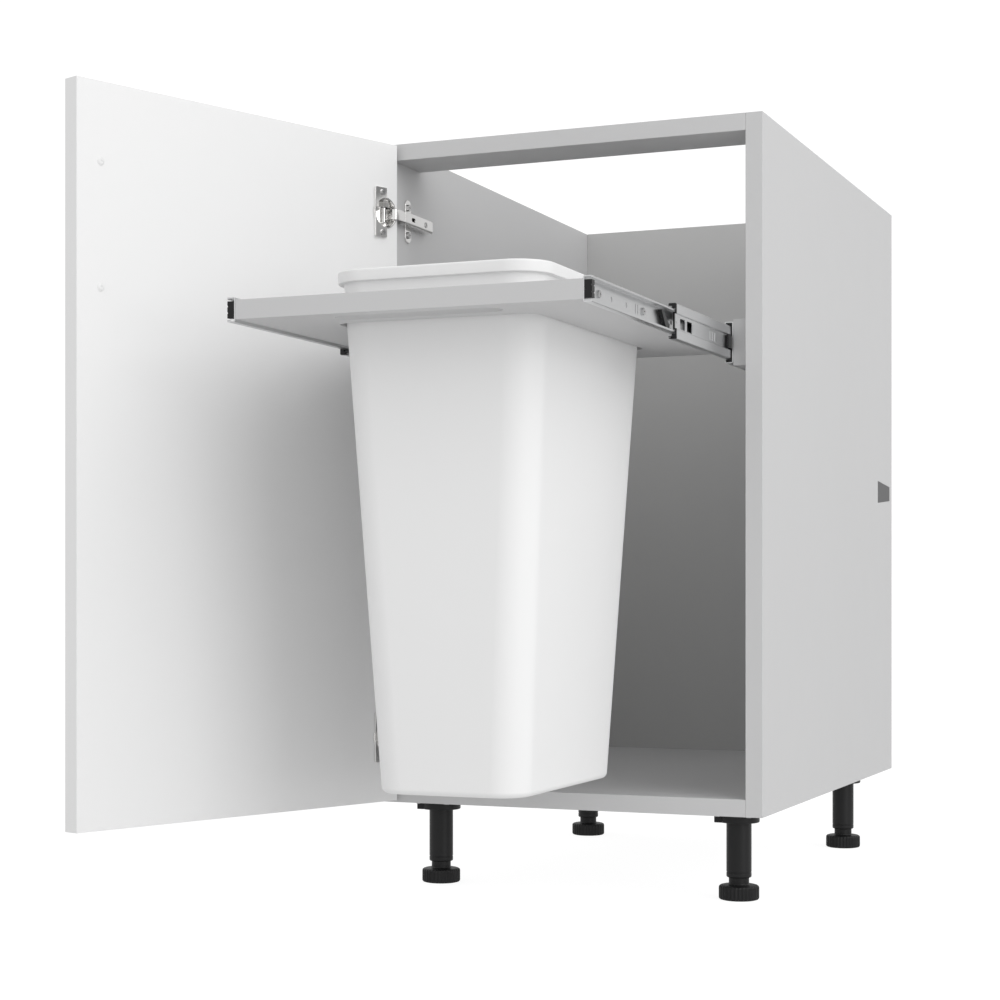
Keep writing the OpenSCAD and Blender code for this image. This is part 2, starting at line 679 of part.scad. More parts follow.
module at_bin(z) { translate([0, bin_mid_y, z]) children(); }
module bin_frame() {
    color([0.74, 0.74, 0.75]) place() difference() {
        slab([-slide_x, slide_x], [drawer_front, drawer_front + frame_depth], [frame_z, frame_top]);
        at_bin(frame_z - eps) linear_extrude(panel_t + 2 * eps)
            round_rect(bin_w + 2 * cut_gap, bin_depth + 2 * cut_gap, cut_corner);
        for (s = [-1, 1]) translate([s * (groove_len - groove_w) / 2, groove_y, frame_z - eps])
            cylinder(r = groove_w / 2, h = groove_deep + eps);
        slab([-(groove_len - groove_w) / 2, (groove_len - groove_w) / 2],
             [groove_y - groove_w / 2, groove_y + groove_w / 2],
             [frame_z - eps, frame_z + groove_deep]);
        frame_screw_rods();
    }
}
// A tapered tub: its corners lean outwards with height, from z[0] to z[1]
module tub(z, grow, edge) {
    hull() for (sx = [-1, 1], sy = [-1, 1], k = [0, 1]) {
        out = (z[k] - frame_top) * slope + grow;
        translate([sx * (bin_w / 2 + out - bin_corner), bin_mid_y + sy * (bin_depth / 2 + out - bin_corner),
                   z[k] - k])
            if (k == 0) cylinder(r1 = bin_corner - edge, r2 = bin_corner, h = edge, $fn = 32);
            else cylinder(r = bin_corner, h = 1, $fn = 32);
    }
}
module bin() {
    rim_bottom = bin_top - rim_h;
    rim_size = (bin_top - frame_top) * slope + rim_out;
    color([0.95, 0.95, 0.95]) place() difference() {
        union() {
            tub([bin_floor, bin_top], 0, 6);
            at_bin(rim_bottom) linear_extrude(rim_h)
                round_rect(bin_w + 2 * rim_size, bin_depth + 2 * rim_size, bin_corner + rim_out);
        }
        tub([bin_floor + bin_wall, bin_top + 1], -bin_wall, 5);
    }
}

side_panel(-1);  // side_panel_left
side_panel(1);  // side_panel_right
bottom_panel();
back_panel();
front_rail();
wedge(-1);  // wedge_left
wedge(1);  // wedge_right
panel_dowels();
leg_bracket(-1, 0);  // leg_bracket_front_left
leg_bracket(1, 0);  // leg_bracket_front_right
leg_bracket(-1, 1);  // leg_bracket_rear_left
leg_bracket(1, 1);  // leg_bracket_rear_right
leg_tube(-1, 0);  // leg_tube_front_left
leg_tube(1, 0);  // leg_tube_front_right
leg_tube(-1, 1);  // leg_tube_rear_left
leg_tube(1, 1);  // leg_tube_rear_right
foot(-1, 0);  // foot_front_left
foot(1, 0);  // foot_front_right
foot(-1, 1);  // foot_rear_left
foot(1, 1);  // foot_rear_right
leg_screws();
door_panel();
handle_hole_caps();
hinge_cup(hinge_zs[0]);  // hinge_cup_upper
hinge_cup(hinge_zs[1]);  // hinge_cup_lower
hinge_pin(hinge_zs[0]);  // hinge_pin_upper
hinge_pin(hinge_zs[1]);  // hinge_pin_lower
hinge_cup_screws();
hinge_arm(hinge_zs[0]);  // hinge_arm_upper
hinge_arm(hinge_zs[1]);  // hinge_arm_lower
hinge_plate(hinge_zs[0]);  // hinge_plate_upper
hinge_plate(hinge_zs[1]);  // hinge_plate_lower
hinge_plate_screws();
spacer(-1);  // spacer_left
spacer(1);  // spacer_right
spacer_screws();
slide_outer(-1);  // slide_outer_left
slide_outer(1);  // slide_outer_right
slide_middle(-1);  // slide_middle_left
slide_middle(1);  // slide_middle_right
slide_inner(-1);  // slide_inner_left
slide_inner(1);  // slide_inner_right
outer_cage(-1);  // outer_cage_left
outer_cage(1);  // outer_cage_right
inner_cage(-1);  // inner_cage_left
inner_cage(1);  // inner_cage_right
outer_balls(-1);  // outer_balls_left
outer_balls(1);  // outer_balls_right
inner_balls(-1);  // inner_balls_left
inner_balls(1);  // inner_balls_right
slide_stops();
retainer(-1);  // retainer_left
retainer(1);  // retainer_right
end_blocks();
slide_screws();
release_lever(-1);  // release_lever_left
release_lever(1);  // release_lever_right
lever_pins();
bin_frame();
bin();
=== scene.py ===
"""Builds the looks of a kitchen base cabinet with a pull-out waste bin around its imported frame.

Lengths in the classes are in millimetres; meshes are made in metres, in the frame's own place.
"""

from __future__ import annotations

import json
import logging
import math
from dataclasses import dataclass, field
from enum import Enum
from typing import Iterable, Sequence

import bmesh
import bpy
from mathutils import Matrix, Vector


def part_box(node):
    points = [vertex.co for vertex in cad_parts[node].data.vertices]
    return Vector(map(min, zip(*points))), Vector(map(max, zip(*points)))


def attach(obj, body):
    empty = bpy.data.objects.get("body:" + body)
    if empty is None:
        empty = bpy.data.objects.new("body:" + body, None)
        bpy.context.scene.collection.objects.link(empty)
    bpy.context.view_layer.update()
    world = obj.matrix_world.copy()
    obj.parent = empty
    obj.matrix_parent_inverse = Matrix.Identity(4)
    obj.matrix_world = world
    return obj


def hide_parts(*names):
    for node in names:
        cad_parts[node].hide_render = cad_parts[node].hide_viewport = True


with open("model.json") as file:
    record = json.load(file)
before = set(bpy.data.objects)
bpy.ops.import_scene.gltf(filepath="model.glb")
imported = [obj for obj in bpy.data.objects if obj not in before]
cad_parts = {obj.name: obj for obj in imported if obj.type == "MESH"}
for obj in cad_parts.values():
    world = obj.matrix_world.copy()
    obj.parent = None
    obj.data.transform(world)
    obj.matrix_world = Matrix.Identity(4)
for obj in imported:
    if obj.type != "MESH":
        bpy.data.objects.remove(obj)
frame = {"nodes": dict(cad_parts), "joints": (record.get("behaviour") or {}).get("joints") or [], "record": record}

log = logging.getLogger("cabinet")
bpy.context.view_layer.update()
MM = 0.001
Pair = tuple[float, float]
Rgb = tuple[float, float, float]


class Side(Enum):
    """Which side of the cabinet a piece is on, with the sign of its X direction."""

    LEFT = -1
    RIGHT = 1

    @property
    def word(self) -> str:
        """The side's word in node and body names."""
        return self.name.lower()


class Texture(Enum):
    """How a finish's fine relief lies on the surface."""

    EVEN = (1.0, 1.0, 1.0)
    DRAWN_ALONG = (1.0, 0.03, 1.0)
    DRAWN_UP = (1.0, 1.0, 0.04)
    GRAIN = (0.06, 1.0, 1.0)


# ---------------------------------------------------------------- shader node groups


class GroupMaker:
    """Makes each shared node group once and hands it out afterwards."""

    def __init__(self) -> None:
        """Starts with no groups made."""
        self.made: dict[str, bpy.types.NodeTree] = {}
        self.makers = {"Tone Drift": self.tone_drift, "Sheen Patches": self.sheen_patches,
                       "Fine Relief": self.fine_relief, "Scuffs": self.scuffs}

    def shared(self, name: str) -> bpy.types.NodeTree:
        """The group of that name, made on its first use."""
        if name not in self.made:
            self.made[name] = self.makers[name]()
        return self.made[name]

    def _start(self, name: str, inputs: Sequence[tuple[str, str, float | Rgb]],
               outputs: Sequence[tuple[str, str]]) -> tuple:
        """Makes an empty group with named sockets.

        Args:
            name: the group's name.
            inputs: name, socket type and default value of each input.
            outputs: name and socket type of each output.

        Returns:
            The tree, its input node and its output node.
        """
        tree = bpy.data.node_groups.new(name, "ShaderNodeTree")
        for label, kind, value in inputs:
            socket = tree.interface.new_socket(label, in_out="INPUT", socket_type=kind)
            if kind == "NodeSocketColor":
                socket.default_value = (*value, 1.0)
            elif kind == "NodeSocketFloat":
                socket.default_value = value
        for label, kind in outputs:
            tree.interface.new_socket(label, in_out="OUTPUT", socket_type=kind)
        return tree, tree.nodes.new("NodeGroupInput"), tree.nodes.new("NodeGroupOutput")

    @staticmethod
    def _noise(tree: bpy.types.NodeTree, source: bpy.types.Node, detail: float) -> bpy.types.Node:
        """A noise texture fed by the group's Vector and Scale inputs."""
        noise = tree.nodes.new("ShaderNodeTexNoise")
        noise.inputs["Detail"].default_value = detail
        tree.links.new(source.outputs["Vector"], noise.inputs["Vector"])
        tree.links.new(source.outputs["Scale"], noise.inputs["Scale"])
        return noise

    @staticmethod
    def _maths(tree: bpy.types.NodeTree, kind: str, *values: object) -> bpy.types.NodeSocket:
        """A Math node of that kind, given sockets or numbers, as its output socket."""
        node = tree.nodes.new("ShaderNodeMath")
        node.operation = kind
        for slot, value in zip(node.inputs, values):
            if isinstance(value, bpy.types.NodeSocket):
                tree.links.new(value, slot)
            else:
                slot.default_value = value
        return node.outputs[0]

    def tone_drift(self) -> bpy.types.NodeTree:
        """The group that lets a colour drift lighter and darker over the surface."""
        tree, source, sink = self._start(
            "Tone Drift",
            [("Vector", "NodeSocketVector", 0), ("Color", "NodeSocketColor", (0.8, 0.8, 0.8)),
             ("Amount", "NodeSocketFloat", 0.03), ("Scale", "NodeSocketFloat", 6.0)],
            [("Color", "NodeSocketColor")])
        noise = self._noise(tree, source, 4.0)
        swing = self._maths(tree, "MULTIPLY_ADD", noise.outputs["Fac"], 2.0, -1.0)
        gain = self._maths(tree, "MULTIPLY_ADD", swing, source.outputs["Amount"], 1.0)
        scale = tree.nodes.new("ShaderNodeVectorMath")
        scale.operation = "SCALE"
        tree.links.new(source.outputs["Color"], scale.inputs[0])
        tree.links.new(gain, scale.inputs["Scale"])
        tree.links.new(scale.outputs["Vector"], sink.inputs["Color"])
        return tree

    def sheen_patches(self) -> bpy.types.NodeTree:
        """The group that varies roughness in soft patches, as handling does."""
        tree, source, sink = self._start(
            "Sheen Patches",
            [("Vector", "NodeSocketVector", 0), ("Roughness", "NodeSocketFloat", 0.4),
             ("Spread", "NodeSocketFloat", 0.05), ("Scale", "NodeSocketFloat", 20.0)],
            [("Roughness", "NodeSocketFloat")])
        noise = self._noise(tree, source, 5.0)
        swing = self._maths(tree, "MULTIPLY_ADD", noise.outputs["Fac"], 2.0, -1.0)
        rough = self._maths(tree, "MULTIPLY_ADD", swing, source.outputs["Spread"],
                            source.outputs["Roughness"])
        tree.links.new(rough, sink.inputs["Roughness"])
        return tree

    def fine_relief(self) -> bpy.types.NodeTree:
        """The group that gives the height of a skin's fine texture over a slower waviness."""
        tree, source, sink = self._start(
            "Fine Relief",
            [("Vector", "NodeSocketVector", 0), ("Scale", "NodeSocketFloat", 900.0),
             ("Waviness", "NodeSocketFloat", 0.3)],
            [("Height", "NodeSocketFloat")])
        noise = self._noise(tree, source, 2.0)
        slow = tree.nodes.new("ShaderNodeTexNoise")
        slow.inputs["Detail"].default_value = 1.0
        tree.links.new(source.outputs["Vector"], slow.inputs["Vector"])
        tree.links.new(self._maths(tree, "MULTIPLY", source.outputs["Scale"], 0.12),
                       slow.inputs["Scale"])
        height = self._maths(tree, "MULTIPLY_ADD", slow.outputs["Fac"],
                             source.outputs["Waviness"], noise.outputs["Fac"])
        tree.links.new(height, sink.inputs["Height"])
        return tree

    def scuffs(self) -> bpy.types.NodeTree:
        """The group that gives a mask of faint, thin rub marks."""
        tree, source, sink = self._start(
            "Scuffs",
            [("Vector", "NodeSocketVector", 0), ("Scale", "NodeSocketFloat", 60.0),
             ("Amount", "NodeSocketFloat", 0.2)],
            [("Mask", "NodeSocketFloat")])
        noise = self._noise(tree, source, 8.0)
        noise.inputs["Distortion"].default_value = 1.4
        ridge = self._maths(tree, "SUBTRACT", noise.outputs["Fac"], 0.5)
        thin = self._maths(tree, "LESS_THAN", self._maths(tree, "ABSOLUTE", ridge), 0.006)
        tree.links.new(self._maths(tree, "MULTIPLY", thin, source.outputs["Amount"]),
                       sink.inputs["Mask"])
        return tree


GROUPS = GroupMaker()


@dataclass(frozen=True)
class Finish:
    """One surface finish: its colour, gloss and the relief that its node groups give it."""

    name: str
    slot: str
    base: Rgb
    roughness: float
    metallic: float = 0.0
    specular: float = 0.5
    coat: float = 0.0
    tone_amount: float = 0.02
    tone_scale: float = 5.0
    sheen_spread: float = 0.04
    sheen_scale: float = 25.0
    relief_scale: float = 1200.0
    relief_depth: float = 0.01
    waviness: float = 0.3
    scuff: float = 0.0
    texture: Texture = Texture.EVEN

    def material(self) -> bpy.types.Material:
        """Builds the finish's material, or finds it if it was built already.

        Returns:
            The material.
        """
        found = bpy.data.materials.get(self.name)
        if found:
            return found
        made = bpy.data.materials.new(self.name)
        made.use_nodes = True
        made.diffuse_color = (*self.base, 1.0)
        tree = made.node_tree
        shader = tree.nodes["Principled BSDF"]
        shader.inputs["Metallic"].default_value = self.metallic
        shader.inputs["Specular IOR Level"].default_value = self.specular
        shader.inputs["Coat Weight"].default_value = self.coat
        shader.inputs["Coat Roughness"].default_value = 0.12
        shader.inputs["Emission Color"].default_value = (1, 1, 1, 1)
        shader.inputs["Emission Strength"].default_value = 0.0
        place = tree.nodes.new("ShaderNodeTexCoord")
        stretch = tree.nodes.new("ShaderNodeMapping")
        stretch.inputs["Scale"].default_value = self.texture.value
        tree.links.new(place.outputs["Object"], stretch.inputs["Vector"])
        vector = stretch.outputs["Vector"]
        tone = self._placed(tree, "Tone Drift", vector, Amount=self.tone_amount,
                            Scale=self.tone_scale, Color=(*self.base, 1.0))
        tree.links.new(tone.outputs["Color"], shader.inputs["Base Color"])
        sheen = self._placed(tree, "Sheen Patches", vector, Roughness=self.roughness,
                             Spread=self.sheen_spread, Scale=self.sheen_scale)
        rough = sheen.outputs["Roughness"]
        if self.scuff > 0:
            marks = self._placed(tree, "Scuffs", vector, Amount=self.scuff, Scale=45.0)
            total = tree.nodes.new("ShaderNodeMath")
            total.operation = "ADD"
            tree.links.new(rough, total.inputs[0])
            tree.links.new(marks.outputs["Mask"], total.inputs[1])
            rough = total.outputs[0]
        tree.links.new(rough, shader.inputs["Roughness"])
        relief = self._placed(tree, "Fine Relief", vector, Scale=self.relief_scale,
                              Waviness=self.waviness)
        bump = tree.nodes.new("ShaderNodeBump")
        bump.inputs["Strength"].default_value = 1.0
        bump.inputs["Distance"].default_value = self.relief_depth * MM
        tree.links.new(relief.outputs["Height"], bump.inputs["Height"])
        tree.links.new(bump.outputs["Normal"], shader.inputs["Normal"])
        return made

    @staticmethod
    def _placed(tree: bpy.types.NodeTree, group: str,
                vector: bpy.types.NodeSocket, **values: object) -> bpy.types.Node:
        """Places a group in the material and sets its inputs.

        Args:
            tree: the material's tree.
            group: the name of the group to place.
            vector: the socket that feeds the group's Vector.
            values: the group's other inputs by name.

        Returns:
            The group's node.
        """
        node = tree.nodes.new("ShaderNodeGroup")
        node.node_tree = GROUPS.shared(group)
        tree.links.new(vector, node.inputs["Vector"])
        for label, value in values.items():
            node.inputs[label].default_value = value
        return node


BOARD = Finish("Painted carcass board", "carcass_board", (0.575, 0.575, 0.578), 0.50,
               tone_amount=0.012, relief_scale=1500, relief_depth=0.012)
# Painted shade: the back board is the carcass paint made darker, standing in for the shade inside the cabinet.
SHADED_BACK_BOARD = Finish("Painted back board", "back_board", (0.53, 0.53, 0.527), 0.52,
                    tone_amount=0.012, relief_scale=1500, relief_depth=0.012)
DOOR_BOARD = Finish("White door paint", "door_board", (0.84, 0.84, 0.84), 0.42,
                    tone_amount=0.01, relief_scale=520, relief_depth=0.05, waviness=0.6)
DOWEL_WOOD = Finish("Planed beech", "dowel_wood", (0.62, 0.45, 0.27), 0.6, tone_amount=0.12,
                    tone_scale=90, relief_scale=900, relief_depth=0.05, texture=Texture.GRAIN)
WEDGE = Finish("Dark grey key", "wedge_plastic", (0.105, 0.105, 0.107), 0.55, tone_amount=0.05,
               relief_scale=900, relief_depth=0.02)
LEG = Finish("Black moulded leg", "leg_plastic", (0.010, 0.010, 0.0105), 0.36, specular=0.3,
             tone_amount=0.15, tone_scale=30, sheen_spread=0.08, relief_scale=1400,
             relief_depth=0.012, scuff=0.10)
FOOT = Finish("Black moulded foot", "foot_plastic", (0.008, 0.008, 0.0085), 0.42, specular=0.3,
              tone_amount=0.15, tone_scale=40, sheen_spread=0.08, relief_scale=1400,
              relief_depth=0.015, scuff=0.12)
BLACK = Finish("Black moulded fittings", "black_plastic", (0.006, 0.006, 0.0065), 0.35,
               specular=0.35, tone_amount=0.15, tone_scale=60, relief_scale=1600,
               relief_depth=0.01)
NICKEL = Finish("Nickel plate", "nickel", (0.86, 0.855, 0.845), 0.12, metallic=1.0,
                tone_amount=0.05, tone_scale=40, sheen_spread=0.06, relief_scale=700,
                relief_depth=0.008, scuff=0.06)
BRIGHT = Finish("Drawn steel", "hinge_steel", (0.55, 0.55, 0.55), 0.28, metallic=1.0,
                tone_amount=0.05, relief_scale=1200, relief_depth=0.006, texture=Texture.DRAWN_UP)
SCREW = Finish("Zinc plated screws", "screw_steel", (0.60, 0.60, 0.60), 0.26, metallic=1.0,
               tone_amount=0.08, tone_scale=80, relief_scale=1500, relief_depth=0.008)
SLIDE = Finish("Zinc plated slide steel", "slide_steel", (0.70, 0.705, 0.71), 0.30, metallic=1.0,
               tone_amount=0.07, tone_scale=14, sheen_spread=0.07, sheen_scale=60,
               relief_scale=1400, relief_depth=0.006, scuff=0.08, texture=Texture.DRAWN_ALONG)
CAGE = Finish("Dull cage steel", "cage_steel", (0.35, 0.35, 0.36), 0.42, metallic=1.0,
              tone_amount=0.08, relief_scale=1200, relief_depth=0.01)
BALL = Finish("Greased balls", "ball_steel", (0.75, 0.75, 0.76), 0.08, metallic=1.0,
              tone_amount=0.04, tone_scale=200, relief_scale=2000, relief_depth=0.001)
CAP = Finish("White hole caps", "cap_plastic", (0.80, 0.80, 0.80), 0.35, tone_amount=0.02,
             tone_scale=60, relief_scale=1600, relief_depth=0.006)
BIN = Finish("White moulded bin", "bin_plastic", (0.85, 0.85, 0.85), 0.46, specular=0.35,
             tone_amount=0.012, tone_scale=4, sheen_spread=0.04, relief_scale=1100,
             relief_depth=0.02, scuff=0.03)
FINISH_OF_SLOT = {f.slot: f for f in (BOARD, SHADED_BACK_BOARD, DOOR_BOARD, DOWEL_WOOD, WEDGE, LEG, FOOT,
                                      BLACK, NICKEL, BRIGHT, SCREW, SLIDE, CAGE, BALL, CAP, BIN)}


# ---------------------------------------------------------------- mesh tools


def arc(centre: Pair, radius: float, start: float, end: float, steps: int) -> list[Pair]:
    """Points on an arc, from one angle to another in degrees.

    Args:
        centre: the arc's centre.
        radius: its radius.
        start: the first angle.
        end: the last angle.
        steps: how many steps the arc is cut into.

    Returns:
        The points, both ends included.
    """
    angles = [math.radians(start + (end - start) * i / steps) for i in range(steps + 1)]
    return [(centre[0] + radius * math.cos(a), centre[1] + radius * math.sin(a)) for a in angles]


def round_rect(half_x: float, half_y: float, radius: float, steps: int = 12,
               centre: Pair = (0.0, 0.0)) -> list[Pair]:
    """The outline of a rectangle with round corners, anticlockwise round its centre."""
    x, y = half_x - radius, half_y - radius
    corners = (((x, y), 0), ((-x, y), 90), ((-x, -y), 180), ((x, -y), 270))
    points = [p for c, a in corners for p in arc(c, radius, a, a + 90, steps)]
    return [(px + centre[0], py + centre[1]) for px, py in points]


def bend_points(start: Vector, corner: Vector, end: Vector, steps: int) -> list[Pair]:
    """Points on a smooth bend from one point to another, pulled towards a corner."""
    out = []
    for i in range(steps + 1):
        t = i / steps
        q = start.lerp(corner, t).lerp(corner.lerp(end, t), t)
        out.append((q.x, q.y))
    return out


def rounded_path(points: Sequence[Pair], radius: float, steps: int = 5) -> list[Pair]:
    """Replaces each inner corner of an open path by an arc.

    Args:
        points: the path's corners and ends.
        radius: the bend radius wanted; it is reduced where a stretch is too short.
        steps: steps in each arc.

    Returns:
        The path with its bends rounded.
    """
    out = [points[0]]
    for before, here, after in zip(points, points[1:], points[2:]):
        p, a, b = Vector(here), Vector(before) - Vector(here), Vector(after) - Vector(here)
        half_turn = a.angle(b) / 2
        run = min(radius / math.tan(half_turn), a.length * 0.49, b.length * 0.49)
        out += bend_points(p + a.normalized() * run, p, p + b.normalized() * run, steps)
    return [*out, points[-1]]


def band(path: Sequence[Pair], thickness: float) -> list[Pair]:
    """The outline of a strip of even thickness along an open path.

    Args:
        path: the strip's middle line.
        thickness: its thickness.

    Returns:
        One closed outline.
    """
    left, right = [], []
    for i, here in enumerate(path):
        before = Vector(path[max(i - 1, 0)])
        after = Vector(path[min(i + 1, len(path) - 1)])
        way = (after - before).normalized()
        step = Vector((-way.y, way.x)) * thickness / 2
        left.append(tuple(Vector(here) + step))
        right.append(tuple(Vector(here) - step))
    return [*left, *reversed(right)]


class Solid:
    """A mesh in the making: solids are added to it, cut out of it and softened."""

    def __init__(self, name: str) -> None:
        """Starts an empty mesh object under that name."""
        self.obj = bpy.data.objects.new(name, bpy.data.meshes.new(name))
        bpy.context.scene.collection.objects.link(self.obj)

    def _take(self, work: bmesh.types.BMesh) -> Solid:
        """Adds a bmesh's faces to the object's mesh."""
        bmesh.ops.recalc_face_normals(work, faces=work.faces)
        work.transform(Matrix.Scale(MM, 4))
        work.from_mesh(self.obj.data)
        work.to_mesh(self.obj.data)
        work.free()
        return self

    def block(self, low: Sequence[float], high: Sequence[float]) -> Solid:
        """Adds a rectangular block between two corners, in millimetres."""
        work = bmesh.new()
        centre = [(a + b) / 2 for a, b in zip(low, high)]
        size = [abs(b - a) for a, b in zip(low, high)]
        bmesh.ops.create_cube(work, matrix=Matrix.Translation(centre) @ Matrix.Diagonal((*size, 1)))
        return self._take(work)

    def prism(self, outline: Sequence[Pair], span: Pair, placed: Matrix) -> Solid:
        """Adds a prism.

        Args:
            outline: the section, as points in the prism's own X and Y.
            span: where it starts and ends along its own Z.
            placed: turns its own axes into the frame's, in millimetres.

        Returns:
            This solid.
        """
        work = bmesh.new()
        ends = [[work.verts.new(placed @ Vector((*p, z))) for p in outline] for z in span]
        work.faces.new(ends[0])
        work.faces.new(list(reversed(ends[1])))
        count = len(outline)
        for i in range(count):
            j = (i + 1) % count
            work.faces.new((ends[0][j], ends[0][i], ends[1][i], ends[1][j]))
        return self._take(work)

    def loft(self, rings: Sequence[Sequence[Vector]], closed: bool = False) -> Solid:
        """Adds a skin through rings of equal count, capped at both ends unless it closes.

        Args:
            rings: the rings, in millimetres.
            closed: whether the last ring joins the first.

        Returns:
            This solid.
        """
        work = bmesh.new()
        made = [[work.verts.new(p) for p in ring] for ring in rings]
        count = len(made[0])
        pairs = list(zip(made, made[1:])) + ([(made[-1], made[0])] if closed else [])
        for one, other in pairs:
            for i in range(count):
                j = (i + 1) % count
                work.faces.new((one[i], one[j], other[j], other[i]))
        if not closed:
            work.faces.new(list(reversed(made[0])))
            work.faces.new(made[-1])
        return self._take(work)

    def lathe(self, profile: Sequence[Pair], placed: Matrix, steps: int = 48) -> Solid:
        """Adds a turned solid.

        Args:
            profile: radius and height of each step, from one end of the axis to the other.
            placed: turns its own axes into the frame's; the axis is its own Z.
            steps: faces round it.

        Returns:
            This solid.
        """
        turns = [2 * math.pi * i / steps for i in range(steps)]
        rings = [[placed @ Vector((r * math.cos(a), r * math.sin(a), z)) for a in turns]
                 for r, z in profile]
        return self.loft(rings)

    def cut(self, *cutters: Solid) -> Solid:
        """Cuts the other solids out of this one and removes them."""
        for cutter in cutters:
            modifier = self.obj.modifiers.new("cut", "BOOLEAN")
            modifier.object, modifier.operation, modifier.solver = cutter.obj, "DIFFERENCE", "EXACT"
        self._apply()
        for cutter in cutters:
            bpy.data.objects.remove(cutter.obj)
        return self

    def join(self, other: Solid) -> Solid:
        """Adds another solid's finished mesh to this one and removes the other."""
        work = bmesh.new()
        work.from_mesh(other.obj.data)
        work.transform(Matrix.Scale(1 / MM, 4))
        bpy.data.objects.remove(other.obj)
        return self._take(work)

    def soften(self, width: float, segments: int = 2, angle: float = 35.0) -> Solid:
        """Rounds every edge sharper than an angle, by a width in millimetres."""
        work = bmesh.new()
        work.from_mesh(self.obj.data)
        bmesh.ops.remove_doubles(work, verts=work.verts, dist=1e-6)
        bmesh.ops.dissolve_limit(work, angle_limit=math.radians(0.5), verts=work.verts,
                                 edges=work.edges)
        work.to_mesh(self.obj.data)
        work.free()
        bevel = self.obj.modifiers.new("soft edges", "BEVEL")
        bevel.width, bevel.segments = width * MM, segments
        bevel.limit_method, bevel.angle_limit = "ANGLE", math.radians(angle)
        bevel.miter_outer = "MITER_ARC"
        self._apply()
        return self

    def _apply(self) -> None:
        """Turns the modifiers' result into the mesh."""
        ready = self.obj.evaluated_get(bpy.context.evaluated_depsgraph_get())
        mesh = bpy.data.meshes.new_from_object(ready)
        self.obj.modifiers.clear()
        old, self.obj.data = self.obj.data, mesh
        bpy.data.meshes.remove(old)

    def done(self, finish: Finish, body: str, *nodes: str, crease: float = 48.0) -> bpy.types.Object:
        """Dresses the piece and sets it on its body.

        Args:
            finish: the piece's finish.
            body: the CAD body that it rides on.
            nodes: the CAD nodes that it stands for.
            crease: edges sharper than this many degrees stay sharp in shading.

        Returns:
            The finished object.
        """
        self.obj.data.shade_smooth()
        self.obj.data.set_sharp_from_angle(angle=math.radians(crease))
        even = self.obj.modifiers.new("even shading", "WEIGHTED_NORMAL")
        even.keep_sharp, even.weight = True, 60
        self._apply()
        mesh = self.obj.data
        mesh.materials.clear()
        mesh.materials.append(finish.material())
        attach(self.obj, body)
        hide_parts(*nodes)
        log.info("%s: %d faces on body %s", self.obj.name, len(mesh.polygons), body)
        return self.obj


def box_mm(node: str) -> tuple[Vector, Vector]:
    """Lowest and highest corner of a CAD node, in millimetres."""
    low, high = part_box(node)
    return low / MM, high / MM


def axes(origin: Sequence[float], x: Sequence[float], y: Sequence[float]) -> Matrix:
    """A frame whose own X and Y point along two given directions, in millimetres."""
    a, b = Vector(x).normalized(), Vector(y).normalized()
    turn = Matrix((a, b, a.cross(b))).transposed().to_4x4()
    return Matrix.Translation(Vector(origin)) @ turn


# ---------------------------------------------------------------- cabinet box


@dataclass
class CarcassBoards:
    """The five boards of the cabinet box, with their machined edges and wedge pockets."""

    edge: float = 0.5
    pocket_gap: float = 0.15
    pocket_taper: float = 0.641

    def board(self, node: str, finish: Finish = BOARD, cutters: Iterable[Solid] = ()) -> None:
        """Builds one board from its CAD box, cuts it and softens its edges."""
        low, high = box_mm(node)
        solid = Solid("board_" + node).block(low, high)
        cutters = list(cutters)
        if cutters:
            solid.cut(*cutters)
        solid.soften(self.edge, 2).done(finish, "cabinet", node)

    def pocket(self, side: Side) -> Solid:
        """The pocket for the key that locks the back to a side panel."""
        low, high = box_mm("wedge_" + side.word)
        grown = self.pocket_gap
        rear_half = (high.z - low.z) / 2 * self.pocket_taper
        middle = (high.z + low.z) / 2
        outline = [(low.y - grown, low.z - grown), (high.y + grown, middle - rear_half - grown),
                   (high.y + grown, middle + rear_half + grown), (low.y - grown, high.z + grown)]
        outer = high.x + 1 if side is Side.RIGHT else low.x - 1
        deep = low.x if side is Side.RIGHT else high.x
        placed = Matrix(((0, 0, 1, 0), (1, 0, 0, 0), (0, 1, 0, 0), (0, 0, 0, 1)))
        return Solid("pocket").prism(outline, (min(outer, deep), max(outer, deep)), placed)

    def build(self) -> None:
        """Builds every board."""
        for side in Side:
            self.board("side_panel_" + side.word, cutters=[self.pocket(side)])
        self.board("bottom_panel")
        self.board("front_rail")
        # The back board gets the darker paint, which is painted shade for the inside of the cabinet.
        self.board("back_panel", SHADED_BACK_BOARD)
        for side in Side:
            self.board("spacer_" + side.word)


# ---------------------------------------------------------------- legs


